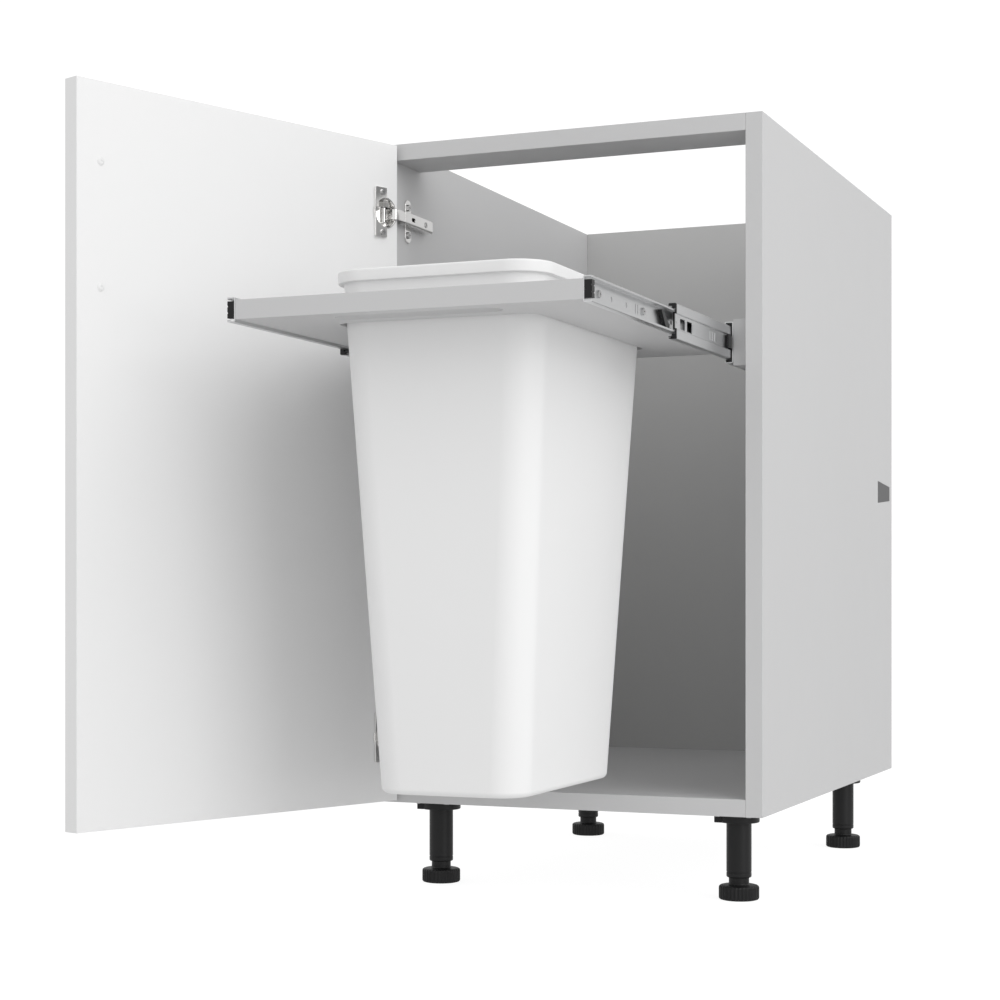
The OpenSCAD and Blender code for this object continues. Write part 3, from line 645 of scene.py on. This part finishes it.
@dataclass
class Leg:
    """One levelling leg: bracket, tube and ribbed foot."""

    place: str
    ribs: int = 32
    rib_depth: float = 0.9
    flange: float = 3.5
    block_half: float = 17.0

    def __post_init__(self) -> None:
        """Finds the leg's axis and heights from its CAD nodes."""
        low, high = box_mm("leg_tube_" + self.place)
        self.x, self.y = (low.x + high.x) / 2, (low.y + high.y) / 2
        self.tube_r = (high.x - low.x) / 2
        self.tube_low, self.tube_high = low.z, high.z
        foot_low, foot_high = box_mm("foot_" + self.place)
        self.foot_r, self.stem_top = (foot_high.x - foot_low.x) / 2, foot_high.z
        low, high = box_mm("leg_bracket_" + self.place)
        self.bracket = (low, high)

    def at(self) -> Matrix:
        """The leg's axis as a frame."""
        return Matrix.Translation((self.x, self.y, 0))

    def ring(self, radius: float, depth: float, z: float) -> list[Vector]:
        """One ring round the foot, with ribs of a given depth."""
        per_rib = (0.0, 0.14, 0.36, 0.5, 0.64, 0.86)
        lift = (0.0, 0.0, 1.0, 1.0, 1.0, 0.0)
        out = []
        for rib in range(self.ribs):
            for part, up in zip(per_rib, lift):
                a = 2 * math.pi * (rib + part) / self.ribs
                r = radius - depth * (1 - up)
                out.append(Vector((self.x + r * math.cos(a), self.y + r * math.sin(a), z)))
        return out

    def foot(self) -> None:
        """Builds the ribbed foot with its neck and stem."""
        r, d = self.foot_r, self.rib_depth
        levels = [(r - 3.0, 0, 0), (r - 1.2, 0, 0.5), (r - 0.3, d * 0.6, 1.4), (r, d, 2.4),
                  (r, d, 13.6), (r - 0.4, d * 0.6, 14.9), (r - 1.6, 0, 15.9), (r - 3.4, 0, 16.4),
                  (12.6, 0, 16.5), (11.6, 0, 17.1), (11.3, 0, 18.2), (11.3, 0, self.stem_top)]
        Solid("foot_" + self.place + "_ribbed").loft(
            [self.ring(*level) for level in levels]).done(
                FOOT, "levelling_foot_" + self.place, "foot_" + self.place, crease=50)

    def tube(self) -> None:
        """Builds the tube with its lower collar and the moulded line near its mouth."""
        r, low, high = self.tube_r, self.tube_low, self.tube_high
        bore = 11.5
        profile = [(bore, high - 20), (bore, low + 0.4), (bore + 0.5, low), (r - 1.0, low),
                   (r - 0.2, low + 0.6), (r, low + 1.4), (r, low + 5.0), (r - 0.35, low + 5.3),
                   (r - 0.35, low + 6.1), (r, low + 6.4), (r, high - 0.6), (r - 0.6, high)]
        Solid("tube_" + self.place + "_moulded").lathe(profile, self.at()).done(
            LEG, "cabinet", "leg_tube_" + self.place)

    def holder(self) -> None:
        """Builds the bracket: a screwed flange, a socket for the tube and a side block."""
        low, high = self.bracket
        socket = (high.x - low.x) / 2 - 1
        r = self.tube_r + 0.25
        profile = [(r, high.z - 3.2), (r, low.z + 0.5), (r + 0.5, low.z), (socket - 0.9, low.z),
                   (socket - 0.2, low.z + 0.5), (socket, low.z + 1.3), (socket, high.z)]
        piece = Solid("bracket_" + self.place + "_moulded")
        piece.block((low.x, low.y, high.z - self.flange), high)
        piece.block((low.x, self.y - self.block_half, low.z), (self.x - r - 1, self.y + self.block_half,
                                                              high.z - self.flange))
        piece.soften(0.7, 2)
        piece.lathe(profile, self.at(), 64)
        piece.done(LEG, "cabinet", "leg_bracket_" + self.place)

    def build(self) -> None:
        """Builds the whole leg."""
        self.holder()
        self.tube()
        self.foot()


# ---------------------------------------------------------------- door


@dataclass
class Door:
    """The open door with its machined bores, and its two hinges."""

    thickness: float = 19.0
    cup_radius: float = 17.5
    cup_depth: float = 14.0
    cup_edge: float = 20.5
    wall: float = 1.0
    ear_t: float = 3.2
    ear_screw: float = 23.0
    hinge_zs: list[float] = field(default_factory=list)

    def __post_init__(self) -> None:
        """Finds the door's own frame from its hole mounts and its CAD mesh."""
        mounts = {m["name"]: m for m in frame["record"]["mounts"]}
        self.holes = [Vector(mounts["handle_hole_" + w]["pos_m"]) / MM for w in ("upper", "lower")]
        out = Vector(mounts["handle_hole_upper"]["axis"]).normalized()
        inward = -out
        along = Vector((inward.y, -inward.x, 0))
        mesh = frame["nodes"]["door_panel"].data
        pivot = Vector(next(j for j in frame["joints"] if j["name"] == "door_hinge")["pos_m"])
        spots = [v.co for v in mesh.vertices]
        if (sum((p for p in spots), Vector()) / len(spots) - pivot).dot(along) < 0:
            along = -along
        reach = [p.dot(along) for p in spots]
        face = max(p.dot(inward) for p in spots)
        self.width = (max(reach) - min(reach)) / MM
        low, high = box_mm("door_panel")
        self.low_z, self.high_z = low.z, high.z
        corner = along * min(reach) / MM + inward * face / MM
        self.own = axes(corner, along, inward)
        for word in ("upper", "lower"):
            a, b = box_mm("hinge_cup_" + word)
            self.hinge_zs.append((a.z + b.z) / 2)

    def facing(self, t: float, m: float, z: float) -> Matrix:
        """A frame on the door whose own Z points out of its inner face."""
        return self.own @ Matrix.Translation((t, m, z)) @ Matrix.Rotation(-math.pi / 2, 4, "X")

    def panel(self) -> None:
        """Builds the door's board with cup bores, screw holes and handle holes."""
        solid = Solid("door_board").prism(
            [(0, -self.thickness), (self.width, -self.thickness), (self.width, 0), (0, 0)],
            (self.low_z, self.high_z), self.own)
        cutters = []
        for z in self.hinge_zs:
            cutters.append(Solid("bore").lathe(
                [(self.cup_radius, -self.cup_depth), (self.cup_radius, 1)],
                self.facing(self.cup_edge, 0, z), 64))
        for hole in self.holes:
            spot = self.own.inverted() @ hole
            placed = self.facing(spot.x, 0, spot.z)
            cutters.append(Solid("hole").lathe([(2.5, -30), (2.5, 5)], placed, 24))
            cutters.append(Solid("hole").lathe([(3.5, -4), (3.5, 5)], placed, 24))
        solid.cut(*cutters).soften(0.6, 3).done(DOOR_BOARD, "door", "door_panel")

    def cup(self, word: str, z: float) -> None:
        """Builds one hinge cup: its flange, rim, drawn bowl and the bosses for the pin."""
        placed = self.facing(self.cup_edge, 0, z)
        low, high = box_mm("hinge_cup_" + word)
        half = (high.z - low.z) / 2
        r, inner = self.cup_radius - 0.02, self.cup_radius - self.wall
        flange = Solid("cup_" + word + "_pressed").prism(
            round_rect(9.25, half, 1.6, 5, (7.75, 0)), (0, self.ear_t), placed)
        flange.cut(Solid("mouth").lathe([(inner, -2), (inner, 5)], placed, 64),
                   *[Solid("screw").lathe([(1.9, -2), (1.9, 5)],
                                          self.facing(self.cup_edge + 5, 0, z + s * self.ear_screw), 24)
                     for s in (-1, 1)])
        flange.soften(0.45, 2)
        deep = self.cup_depth
        shell = [(0.6, -deep + 0.9), (r - 1.2, -deep + 0.05), (r, -deep + 1.4), (r, 0.3), (r + 1, 0.5),
                 (r + 1.0, 1.2), (r + 0.7, 1.75), (inner + 0.5, 1.75), (inner, 1.3),
                 (inner, -deep + 2.4), (inner - 1.4, -deep + 1.1), (0.6, -deep + 1.0)]
        flange.lathe(shell, placed, 64)
        for s in (-1, 1):
            flange.prism(round_rect(4.6, 3.9, 1.2, 4, (0, s * 12.6)), (-deep + 1.0, -6.4),
                         self.facing(11.6, 0, z))
        flange.done(NICKEL, "door", "hinge_cup_" + word)

    def build(self) -> None:
        """Builds the door and the hinge halves on it."""
        self.panel()
        for word, z in zip(("upper", "lower"), self.hinge_zs):
            self.cup(word, z)


@dataclass
class HingeArm:
    """The half of one hinge that is fixed in the cabinet: strap, arm and mounting plate."""

    word: str
    strap_t: float = 2.4
    strap_half: float = 6.0

    def build(self, door: Door) -> None:
        """Builds the strap from the cup to the arm, the arm's box and the plate under it.

        Args:
            door: the door, for the place of the cup that the strap comes out of.
        """
        low, high = box_mm("hinge_arm_" + self.word)
        z = (low.z + high.z) / 2
        panel = box_mm("side_panel_left")[1].x
        face = high.x
        front = box_mm("side_panel_left")[0].y
        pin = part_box("hinge_pin_" + self.word)
        pin_x, pin_y = (pin[0].x + pin[1].x) / 2 / MM, (pin[0].y + pin[1].y) / 2 / MM
        own = door.own

        def on_door(t: float, m: float) -> Pair:
            """A point by the open door, in plan."""
            p = own @ Vector((t, m, 0))
            return (p.x, p.y)

        lip = door.cup_edge - math.sqrt((door.cup_radius - door.wall) ** 2 - self.strap_half ** 2)
        mid = face - self.strap_t / 2 - 0.3
        path = rounded_path([(pin_x, pin_y), on_door(lip + 2.6, 0.8), on_door(lip + 0.4, 3.4),
                             on_door(0.5, 3.4), (mid, front), (mid, front + 10)], 2.2, 4)
        arm = Solid("arm_" + self.word + "_pressed").prism(
            band(path, self.strap_t - 0.1), (z - self.strap_half, z + self.strap_half),
            Matrix.Identity(4))
        arm.soften(0.4, 2, 50)
        section = band(rounded_path([(panel + 2.2, -6.9), (face - 0.75, -6.9), (face - 0.75, 6.9),
                                     (panel + 2.2, 6.9)], 1.8, 4), 1.3)
        placed = Matrix(((1, 0, 0, 0), (0, 0, 1, 0), (0, 1, 0, z), (0, 0, 0, 1)))
        box = Solid("box").prism(section, (front + 8, high.y), placed)
        screw = (high.y - 20.0, z)
        side_on = axes((face, 0, 0), (0, 1, 0), (0, 0, 1))
        cutters = [Solid("slot").prism([(x + front + 31, y + z) for x, y in round_rect(5, 2.2, 2.1, 6)],
                                       (-4, 4), side_on),
                   Solid("hole").lathe([(2.1, -4), (2.1, 4)],
                                       side_on @ Matrix.Translation((*screw, 0)), 24)]
        box.cut(*cutters).soften(0.25, 1, 40)
        arm.join(box)
        arm.lathe([(2.05, -8), (2.1, 8)], Matrix.Translation((pin_x, pin_y, z)), 32)
        arm.done(NICKEL, "cabinet", "hinge_arm_" + self.word)
        self.plate(panel, z)

    def plate(self, panel: float, z: float) -> None:
        """Builds the cross-shaped mounting plate with its raised middle and round holes in its wings."""
        low, high = box_mm("hinge_plate_" + self.word)
        side_on = axes((panel, 0, z), (0, 1, 0), (0, 0, 1))
        wing_y = low.y + 23
        half = (high.z - low.z) / 2
        piece = Solid("plate_" + self.word + "_pressed").prism(
            round_rect((high.y - low.y) / 2, 7.4, 2.5, 5, ((low.y + high.y) / 2, 0)),
            (0, 1.95), side_on)
        piece.soften(0.35, 2)
        wings = Solid("wings").prism(round_rect(8, half, 6.5, 8, (wing_y, 0)), (0.0, 2.0),
                                     side_on)
        holes = [Solid("hole").lathe([(2.3, -3), (2.3, 5)],
                                     side_on @ Matrix.Translation((wing_y, s * 16, 0)), 24)
                 for s in (-1, 1)]
        wings.cut(*holes).soften(0.45, 2)
        piece.join(wings)
        rib = Solid("rib").prism([(x + wing_y + 10, y) for x, y in round_rect(28, 5.6, 2, 5)],
                                 (0.5, high.x - panel - 0.05), side_on)
        rib.soften(0.5, 2)
        piece.join(rib)
        piece.done(NICKEL, "cabinet", "hinge_plate_" + self.word)


# ---------------------------------------------------------------- drawer slides


@dataclass
class SlideSet:
    """One side's three-member ball bearing slide with its stops and release lever."""

    side: Side
    steel: float = 1.2
    bend: float = 1.3
    member_lead: float = 26.0
    lever_boss: float = 3.2
    screw_to_lever: float = 71.0

    def __post_init__(self) -> None:
        """Finds the slide's place from its CAD nodes."""
        self.sign = self.side.value
        low, high = box_mm("slide_inner_" + self.side.word)
        self.edge = low.x if self.side is Side.RIGHT else high.x
        self.z = (low.z + high.z) / 2
        self.drawer_y = (low.y, high.y)
        low, high = box_mm("slide_middle_" + self.side.word)
        self.steel_y = low.y
        self.middle_end = high.y
        self.middle_y = low.y - self.member_lead
        low, high = box_mm("slide_outer_" + self.side.word)
        self.outer_y = (low.y, high.y)

    def along(self) -> Matrix:
        """Own X is outwards from the frame, own Y is up and own Z runs along the slide."""
        return Matrix(((self.sign, 0, 0, self.edge), (0, 0, 1, 0), (0, 1, 0, self.z), (0, 0, 0, 1)))

    def across(self) -> Matrix:
        """Own X runs along the slide, own Y is up and own Z is outwards from the frame."""
        return Matrix(((0, 0, self.sign, self.edge), (1, 0, 0, 0), (0, 1, 0, self.z), (0, 0, 0, 1)))

    def channel(self, name: str, web: float, flange: float, half: float, lip: float,
                span: Pair) -> Solid:
        """A rolled channel with rounded bends and small lips.

        Args:
            name: the piece's name.
            web: distance of the web's middle from the frame's edge.
            flange: distance of the lips' middle from the frame's edge.
            half: half the channel's outside height.
            lip: how far the lips turn in.
            span: its ends along the slide.

        Returns:
            The solid, not yet softened.
        """
        h = half - self.steel / 2
        corners = [(flange, h - lip), (flange, h), (web, h), (web, -h), (flange, -h), (flange, lip - h)]
        outline = band(rounded_path(corners, self.bend, 5), self.steel)
        return Solid(name).prism(outline, span, self.along())

    def window(self, y: Pair, z: Pair, deep: Pair, radius: float = 1.0) -> Solid:
        """A cutter with round corners through a web."""
        outline = round_rect((y[1] - y[0]) / 2, (z[1] - z[0]) / 2, radius, 5,
                             ((y[0] + y[1]) / 2, (z[0] + z[1]) / 2))
        return Solid("window").prism(outline, deep, self.across())

    def drill(self, y: float, z: float, radius: float, deep: Pair) -> Solid:
        """A round cutter through a web."""
        return Solid("drill").lathe([(radius, deep[0]), (radius, deep[1])],
                                    self.across() @ Matrix.Translation((y, z, 0)), 24)

    def inner(self) -> None:
        """Builds the drawer member with its screw holes and upright slots."""
        word, start = self.side.word, self.drawer_y[0]
        piece = self.channel("drawer_member_" + word, 0.6, 8.4, 12, 1.6, self.drawer_y)
        second = box_mm("release_lever_" + word)[1].y - self.lever_boss - self.screw_to_lever - start
        cutters = []
        for y in (39.3, second):
            cutters.append(self.drill(start + y, 0, 2.1, (-3, 4)))
            for k in range(2):
                cutters.append(self.window((start + y - 17 - 7 * k, start + y - 15.6 - 7 * k),
                                           (-5, 5), (-3, 4), 0.6))
        for y in (75.0, 118.0, 260.0, 310.0, 360.0):
            cutters.append(self.drill(start + y, 0, 2.6, (-3, 4)))
        piece.cut(*cutters).soften(0.18, 1, 45)
        piece.done(SLIDE, "drawer", "slide_inner_" + word)

    def middle(self) -> None:
        """Builds the middle member with its two windows, rivet hole and pressed ribs."""
        word, y0 = self.side.word, self.middle_y
        h, half = 18 - self.steel / 2, 8.2
        corners = [(2.8, h - 1.8), (2.8, h), (9.7, h), (9.7, half), (7.6, half), (7.6, -half),
                   (9.7, -half), (9.7, -h), (2.8, -h), (2.8, 1.8 - h)]
        piece = Solid("middle_member_" + word).prism(
            band(rounded_path(corners, 1.0, 4), self.steel), (self.steel_y, self.middle_end),
            self.along())
        cutters = [self.window((y0 + 43.3, y0 + 61.6), (-6.2, 4.6), (5, 12), 1.4),
                   self.window((y0 + 67.2, y0 + 86.4), (-6.2, 4.6), (5, 12), 1.4),
                   self.drill(y0 + 30.4, -1, 1.7, (5, 12))]
        piece.cut(*cutters).soften(0.18, 1, 45)
        for k in range(3):
            piece.prism([(x + y0 + 152 + 9 * k, y - 0.5) for x, y in round_rect(1.9, 4.9, 1.5, 4)],
                        (7.2, 8.65), self.across())
        piece.done(SLIDE, "middle_member_" + word, "slide_middle_" + word)

    def outer(self) -> None:
        """Builds the cabinet member."""
        word = self.side.word
        piece = self.channel("cabinet_member_" + word, 12.1, 3.6, 22.7, 1.8, self.outer_y)
        cutters = [self.drill(self.outer_y[0] + y, 0, 3.5, (10, 14)) for y in (40, 225, 410)]
        cutters += [self.window((self.outer_y[0] + y - 6, self.outer_y[0] + y + 6), (-2.4, 2.4),
                                (10, 14), 2.3) for y in (90, 150, 300)]
        piece.cut(*cutters).soften(0.18, 1, 45)
        piece.done(SLIDE, "cabinet", "slide_outer_" + word)

    def retainer(self) -> None:
        """Builds the black retainer in the mouth of the middle member."""
        word = self.side.word
        low, high = box_mm("retainer_" + word)
        piece = Solid("retainer_" + word + "_moulded").prism(
            round_rect(4.05, 18, 1.2, 4, (6.25, 0)), (low.y, high.y), self.along())

        def slot(u0: float, u1: float, z0: float, z1: float, back: float = 2.0) -> Solid:
            """A rectangular cutter through the retainer, in its own section."""
            return Solid("way").prism([(u0, z0), (u1, z0), (u1, z1), (u0, z1)],
                                      (low.y - 2, high.y + back), self.along())

        cutters = [slot(0, 6.9, -12.5, 12.5), slot(8.4, 12, -7.5, 7.5)]
        cutters += [slot(0, 9.3, min(a, b), max(a, b)) for a, b in ((8.9, 12.9), (-8.9, -12.9))]
        cutters += [slot(0, 5.4, -15.4, -12), slot(0, 6.0, 12, 15.2), slot(0, 4.6, -17.0, -16.2)]
        for cutter in cutters:
            piece.cut(cutter)
        piece.soften(0.25, 2).done(BLACK, "middle_member_" + word, "retainer_" + word)

    def lever(self) -> None:
        """Builds the curved release lever round its pin."""
        word = self.side.word
        joint = next(j for j in frame["joints"] if j["name"] == "release_lever_pivot_" + word)
        pin = Vector(joint["pos_m"]) / MM
        y, z = pin.y, pin.z - self.z
        shape = [(-1, -2.2), (-10.6, -1.4), (-14.4, 1.2), (-19.4, 7.6), (-25.2, 13.2), (-25.2, 15.2),
                 (-21.6, 15.2), (-14, 10.8), (-7, 6), (-0.6, 2.6)]
        bar = [(y + px, z + pz) for px, pz in self.eased(shape)]
        deep = (1.7, 5.9)
        piece = Solid("lever_" + word + "_moulded").prism(bar, deep, self.across())
        boss = Solid("boss").lathe([(2.9, deep[0]), (3.1, deep[0] + 0.3), (3.1, deep[1] - 0.3),
                                    (2.9, deep[1])], self.across() @ Matrix.Translation((y, z, 0)), 32)
        piece.cut(self.drill(y, z, 1.6, (0, 9))).soften(0.4, 2)
        boss.cut(self.drill(y, z, 1.6, (0, 9)))
        piece.join(boss)
        piece.done(BLACK, "release_lever_" + word, "release_lever_" + word)

    @staticmethod
    def eased(corners: Sequence[Pair], steps: int = 4) -> list[Pair]:
        """Rounds every corner of a closed outline.

        Args:
            corners: the outline's corners.
            steps: steps in each rounded corner.

        Returns:
            The softened outline.
        """
        out, count = [], len(corners)
        for i, here in enumerate(corners):
            p, a, b = Vector(here), Vector(corners[i - 1]), Vector(corners[(i + 1) % count])
            out += bend_points(p.lerp(a, 0.3), p, p.lerp(b, 0.3), steps)
        return out

    def build(self) -> None:
        """Builds every member of the slide."""
        self.inner()
        self.middle()
        self.outer()
        self.retainer()
        self.lever()


# ---------------------------------------------------------------- bin frame and bin


@dataclass
class BinFrame:
    """The board tray: cut-out for the bin and the finger groove under its front edge."""

    edge: float = 0.5
    cut_radius: float = 18.0
    gap: float = 0.4
    groove_half: float = 15.5
    groove_deep: float = 8.0

    def build(self, tub: Bin) -> None:
        """Builds the tray round the bin.

        Args:
            tub: the bin, for the size and place of the cut-out.
        """
        low, high = box_mm("bin_frame")
        x, y = tub.x, tub.y
        level = Matrix.Translation((x, y, 0))
        hole = round_rect(tub.seat_x + self.gap, tub.seat_y + self.gap, self.cut_radius, 10)
        groove_low, groove_high = self.groove()
        cutters = [Solid("hole").prism(hole, (low.z - 5, high.z + 5), level),
                   self.cove((groove_low + groove_high) / 2, (groove_high - groove_low) / 2, low.z)]
        Solid("tray_board").block(low, high).cut(*cutters).soften(self.edge, 2).done(
            BOARD, "drawer", "bin_frame")

    def cove(self, middle: Vector, half: Vector, floor_z: float) -> Solid:
        """The cutter for the finger groove, rounded across its width and at its ends.

        Args:
            middle: the groove's middle.
            half: half its length and half its width.
            floor_z: height of the tray's underside.

        Returns:
            The cutter.
        """
        levels = [(0.0, -5.0), *((math.radians(a), self.groove_deep * math.sin(math.radians(a)))
                                 for a in (0, 12, 24, 36, 48, 60, 70, 79))]
        rings = []
        for angle, up in levels:
            inset = self.groove_half * (1 - math.cos(angle))
            rings.append([Vector((middle.x + px, middle.y + py, floor_z + up)) for px, py in
                          round_rect(half.x - inset, half.y - inset, self.groove_half - inset - 0.01, 14)])
        return Solid("groove").loft(rings)

    @staticmethod
    def groove() -> tuple[Vector, Vector]:
        """The groove's corners, from the opening stated in the record."""
        spec = next(o for o in frame["record"]["physics"]["openings"] if o["name"] == "finger_groove")
        a, b = (Vector(p) / MM for p in spec["box_m"])
        reach = 18.0
        return Vector((a.x - reach, a.y - 1.5, 0)), Vector((b.x + reach, b.y + 1.5, 0))


@dataclass
class Bin:
    """The tapered bin: walls, rolled rim, inner skin and rounded floor."""

    seat_x: float = 106.0
    seat_y: float = 167.2
    radius: float = 33.0
    taper: float = math.tan(math.radians(3.2))
    wall: float = 2.4
    rim_out: float = 5.5
    rim_h: float = 13.5
    steps: int = 14

    def __post_init__(self) -> None:
        """Finds the bin's place from its CAD node."""
        low, high = box_mm("bin")
        self.x, self.y = (low.x + high.x) / 2, (low.y + high.y) / 2
        self.low, self.high = low.z, high.z
        self.seat_z = box_mm("bin_frame")[1].z

    def ring(self, z: float, grow: float = 0.0, radius: float | None = None) -> list[Vector]:
        """One ring of the bin at a height, grown sideways, with a corner radius."""
        out = (z - self.seat_z) * self.taper + grow
        r = self.radius if radius is None else radius
        return [Vector((self.x + px, self.y + py, z)) for px, py in
                round_rect(self.seat_x + out, self.seat_y + out, r, self.steps)]

    def build(self) -> None:
        """Builds the bin as one closed skin, from its floor over the rim to its inner floor."""
        low, top, r = self.low, self.high, self.radius
        under = top - self.rim_h + 1.6
        rings = [self.ring(low, -6.0, r - 6.0)]
        for k in range(1, 7):
            a = math.pi / 2 * k / 6
            rings.append(self.ring(low + 6 * (1 - math.cos(a)), -6 * (1 - math.sin(a)),
                                   r - 6 * (1 - math.sin(a))))
        for k in range(1, 10):
            rings.append(self.ring(low + 6 + (under - 2 - low - 6) * k / 9))
        out = self.rim_out
        for z, grow in ((under - 0.6, 0.25), (under, 1.0), (under, out - 1.2), (under + 0.2, out - 0.4),
                        (under + 0.8, out), (top - 2.2, out), (top - 1.2, out - 0.25),
                        (top - 0.5, out - 0.8), (top - 0.1, out - 1.8), (top, out - 3.0),
                        (top, 0.2 - self.wall * 0.3), (top - 0.4, 0.5 - self.wall),
                        (top - 1.6, -self.wall)):
            rings.append(self.ring(z, grow, r + max(grow, -self.wall)))
        inside = r - self.wall
        for k in range(0, 9):
            z = top - 6 - (top - 6 - low - self.wall - 6) * k / 8
            rings.append(self.ring(z, -self.wall, inside))
        for k in range(1, 6):
            a = math.pi / 2 * k / 5
            rings.append(self.ring(low + self.wall + 6 * (1 - math.sin(a)),
                                   -self.wall - 6 * (1 - math.cos(a)), inside - 6 * (1 - math.cos(a))))
        Solid("bin_moulded").loft(rings).done(BIN, "bin", "bin", crease=40)


# ---------------------------------------------------------------- what the frame keeps


class KeptNodes:
    """CAD nodes whose own shape is right: they only get their finishes."""

    def build(self) -> None:
        """Dresses every CAD node that still shows."""
        slots = {s["node"]: s["material_slot"] for s in frame["record"]["subparts"]}
        for name, obj in frame["nodes"].items():
            if obj.hide_render:
                continue
            finish = FINISH_OF_SLOT[slots[name]]
            obj.data.materials.clear()
            obj.data.materials.append(finish.material())
            log.info("%s keeps its shape, in %s", name, finish.name)


# ---------------------------------------------------------------- studio


def seen_or_cast(tree: bpy.types.NodeTree, seen: float, cast: float,
                 target: bpy.types.NodeSocket) -> None:
    """Gives a strength one value to the camera and another to everything it lights.

    Args:
        tree: the material's or the world's tree.
        seen: the strength that the camera sees.
        cast: the strength that lights the scene.
        target: the strength's socket.
    """
    path = tree.nodes.new("ShaderNodeLightPath")
    glow = tree.nodes.new("ShaderNodeMath")
    glow.operation = "MULTIPLY_ADD"
    glow.inputs[1].default_value, glow.inputs[2].default_value = seen - cast, cast
    tree.links.new(path.outputs["Is Camera Ray"], glow.inputs[0])
    tree.links.new(glow.outputs[0], target)


@dataclass
class Studio:
    """The pale floor, the soft lights and the camera."""

    lens: float = 75.34
    shift: Pair = (0.0433, 0.0891)
    camera_at: tuple[float, float, float] = (886.35, -2328.13, 346.82)
    turn: float = 23.19
    seen: float = 0.90
    cast: float = 0.50
    sky_seen: float = 1.02
    sky_cast: float = 0.83

    def floor(self) -> None:
        """Builds the floor as a wide, gently curved sweep."""
        line = [(-9000.0, 0.0), (5200.0, 0.0)]
        line += arc((5200.0, 1500.0), 1500.0, -90, 0, 12)[1:] + [(6700.0, 6000.0)]
        work = bmesh.new()
        rows = [[work.verts.new((x * MM, y * MM, z * MM)) for y, z in line] for x in (-9000, 9000)]
        for i in range(len(line) - 1):
            work.faces.new((rows[0][i], rows[1][i], rows[1][i + 1], rows[0][i + 1]))
        mesh = bpy.data.meshes.new("studio_floor")
        work.to_mesh(mesh)
        work.free()
        mesh.shade_smooth()
        sweep = bpy.data.objects.new("studio_floor", mesh)
        bpy.context.scene.collection.objects.link(sweep)
        paper = Finish("Studio paper", "", (0.22, 0.22, 0.22), 0.9, specular=0.0,
                       tone_amount=0.004, relief_scale=60, relief_depth=0.01).material()
        tree = paper.node_tree
        seen_or_cast(tree, self.seen, self.cast,
                     tree.nodes["Principled BSDF"].inputs["Emission Strength"])
        mesh.materials.append(paper)

    def soft_light(self, name: str, at: Sequence[float], aim: Sequence[float], size: float,
                   power: float) -> None:
        """Hangs one square soft light.

        Args:
            name: the light's name.
            at: its place, in metres.
            aim: the point it faces.
            size: its side, in metres.
            power: its power, in watts.
        """
        data = bpy.data.lights.new(name, "AREA")
        data.shape, data.size, data.energy = "SQUARE", size, power
        lamp = bpy.data.objects.new(name, data)
        lamp.location = at
        lamp.rotation_euler = (Vector(aim) - Vector(at)).to_track_quat("-Z", "Y").to_euler()
        bpy.context.scene.collection.objects.link(lamp)

    def build(self) -> None:
        """Sets up the floor, the world, the lights and the camera."""
        self.floor()
        world = bpy.data.worlds.new("Studio white")
        world.use_nodes = True
        sky = world.node_tree.nodes["Background"].inputs
        sky["Color"].default_value = (1, 1, 1, 1)
        seen_or_cast(world.node_tree, self.sky_seen, self.sky_cast, sky["Strength"])
        bpy.context.scene.world = world
        bpy.context.scene.view_settings.view_transform = "Standard"
        self.soft_light("Key", (3.4, -1.5, 3.4), (0, 0, 0.4), 4.0, 66)
        self.soft_light("Low fill", (4.2, -2.4, 0.9), (0, 0, 0.3), 2.6, 36)
        data = bpy.data.cameras.new("Camera")
        data.lens, data.sensor_width = self.lens, 36.0
        data.shift_x, data.shift_y = self.shift
        data.clip_end = 100.0
        camera = bpy.data.objects.new("Camera", data)
        camera.location = Vector(self.camera_at) * MM
        camera.rotation_euler = (math.radians(90), 0, math.radians(self.turn))
        bpy.context.scene.collection.objects.link(camera)
        bpy.context.scene.camera = camera
        log.info("studio ready, camera %.0f mm", self.lens)


def main() -> None:
    """Builds every sub-assembly in order."""
    logging.basicConfig(level=logging.INFO, format="%(name)s: %(message)s")
    CarcassBoards().build()
    for place in ("front_left", "front_right", "rear_left", "rear_right"):
        Leg(place).build()
    door = Door()
    door.build()
    for word in ("upper", "lower"):
        HingeArm(word).build(door)
    for side in Side:
        SlideSet(side).build()
    tub = Bin()
    tub.build()
    BinFrame().build(tub)
    KeptNodes().build()
    Studio().build()


if __name__ == "__main__":
    main()
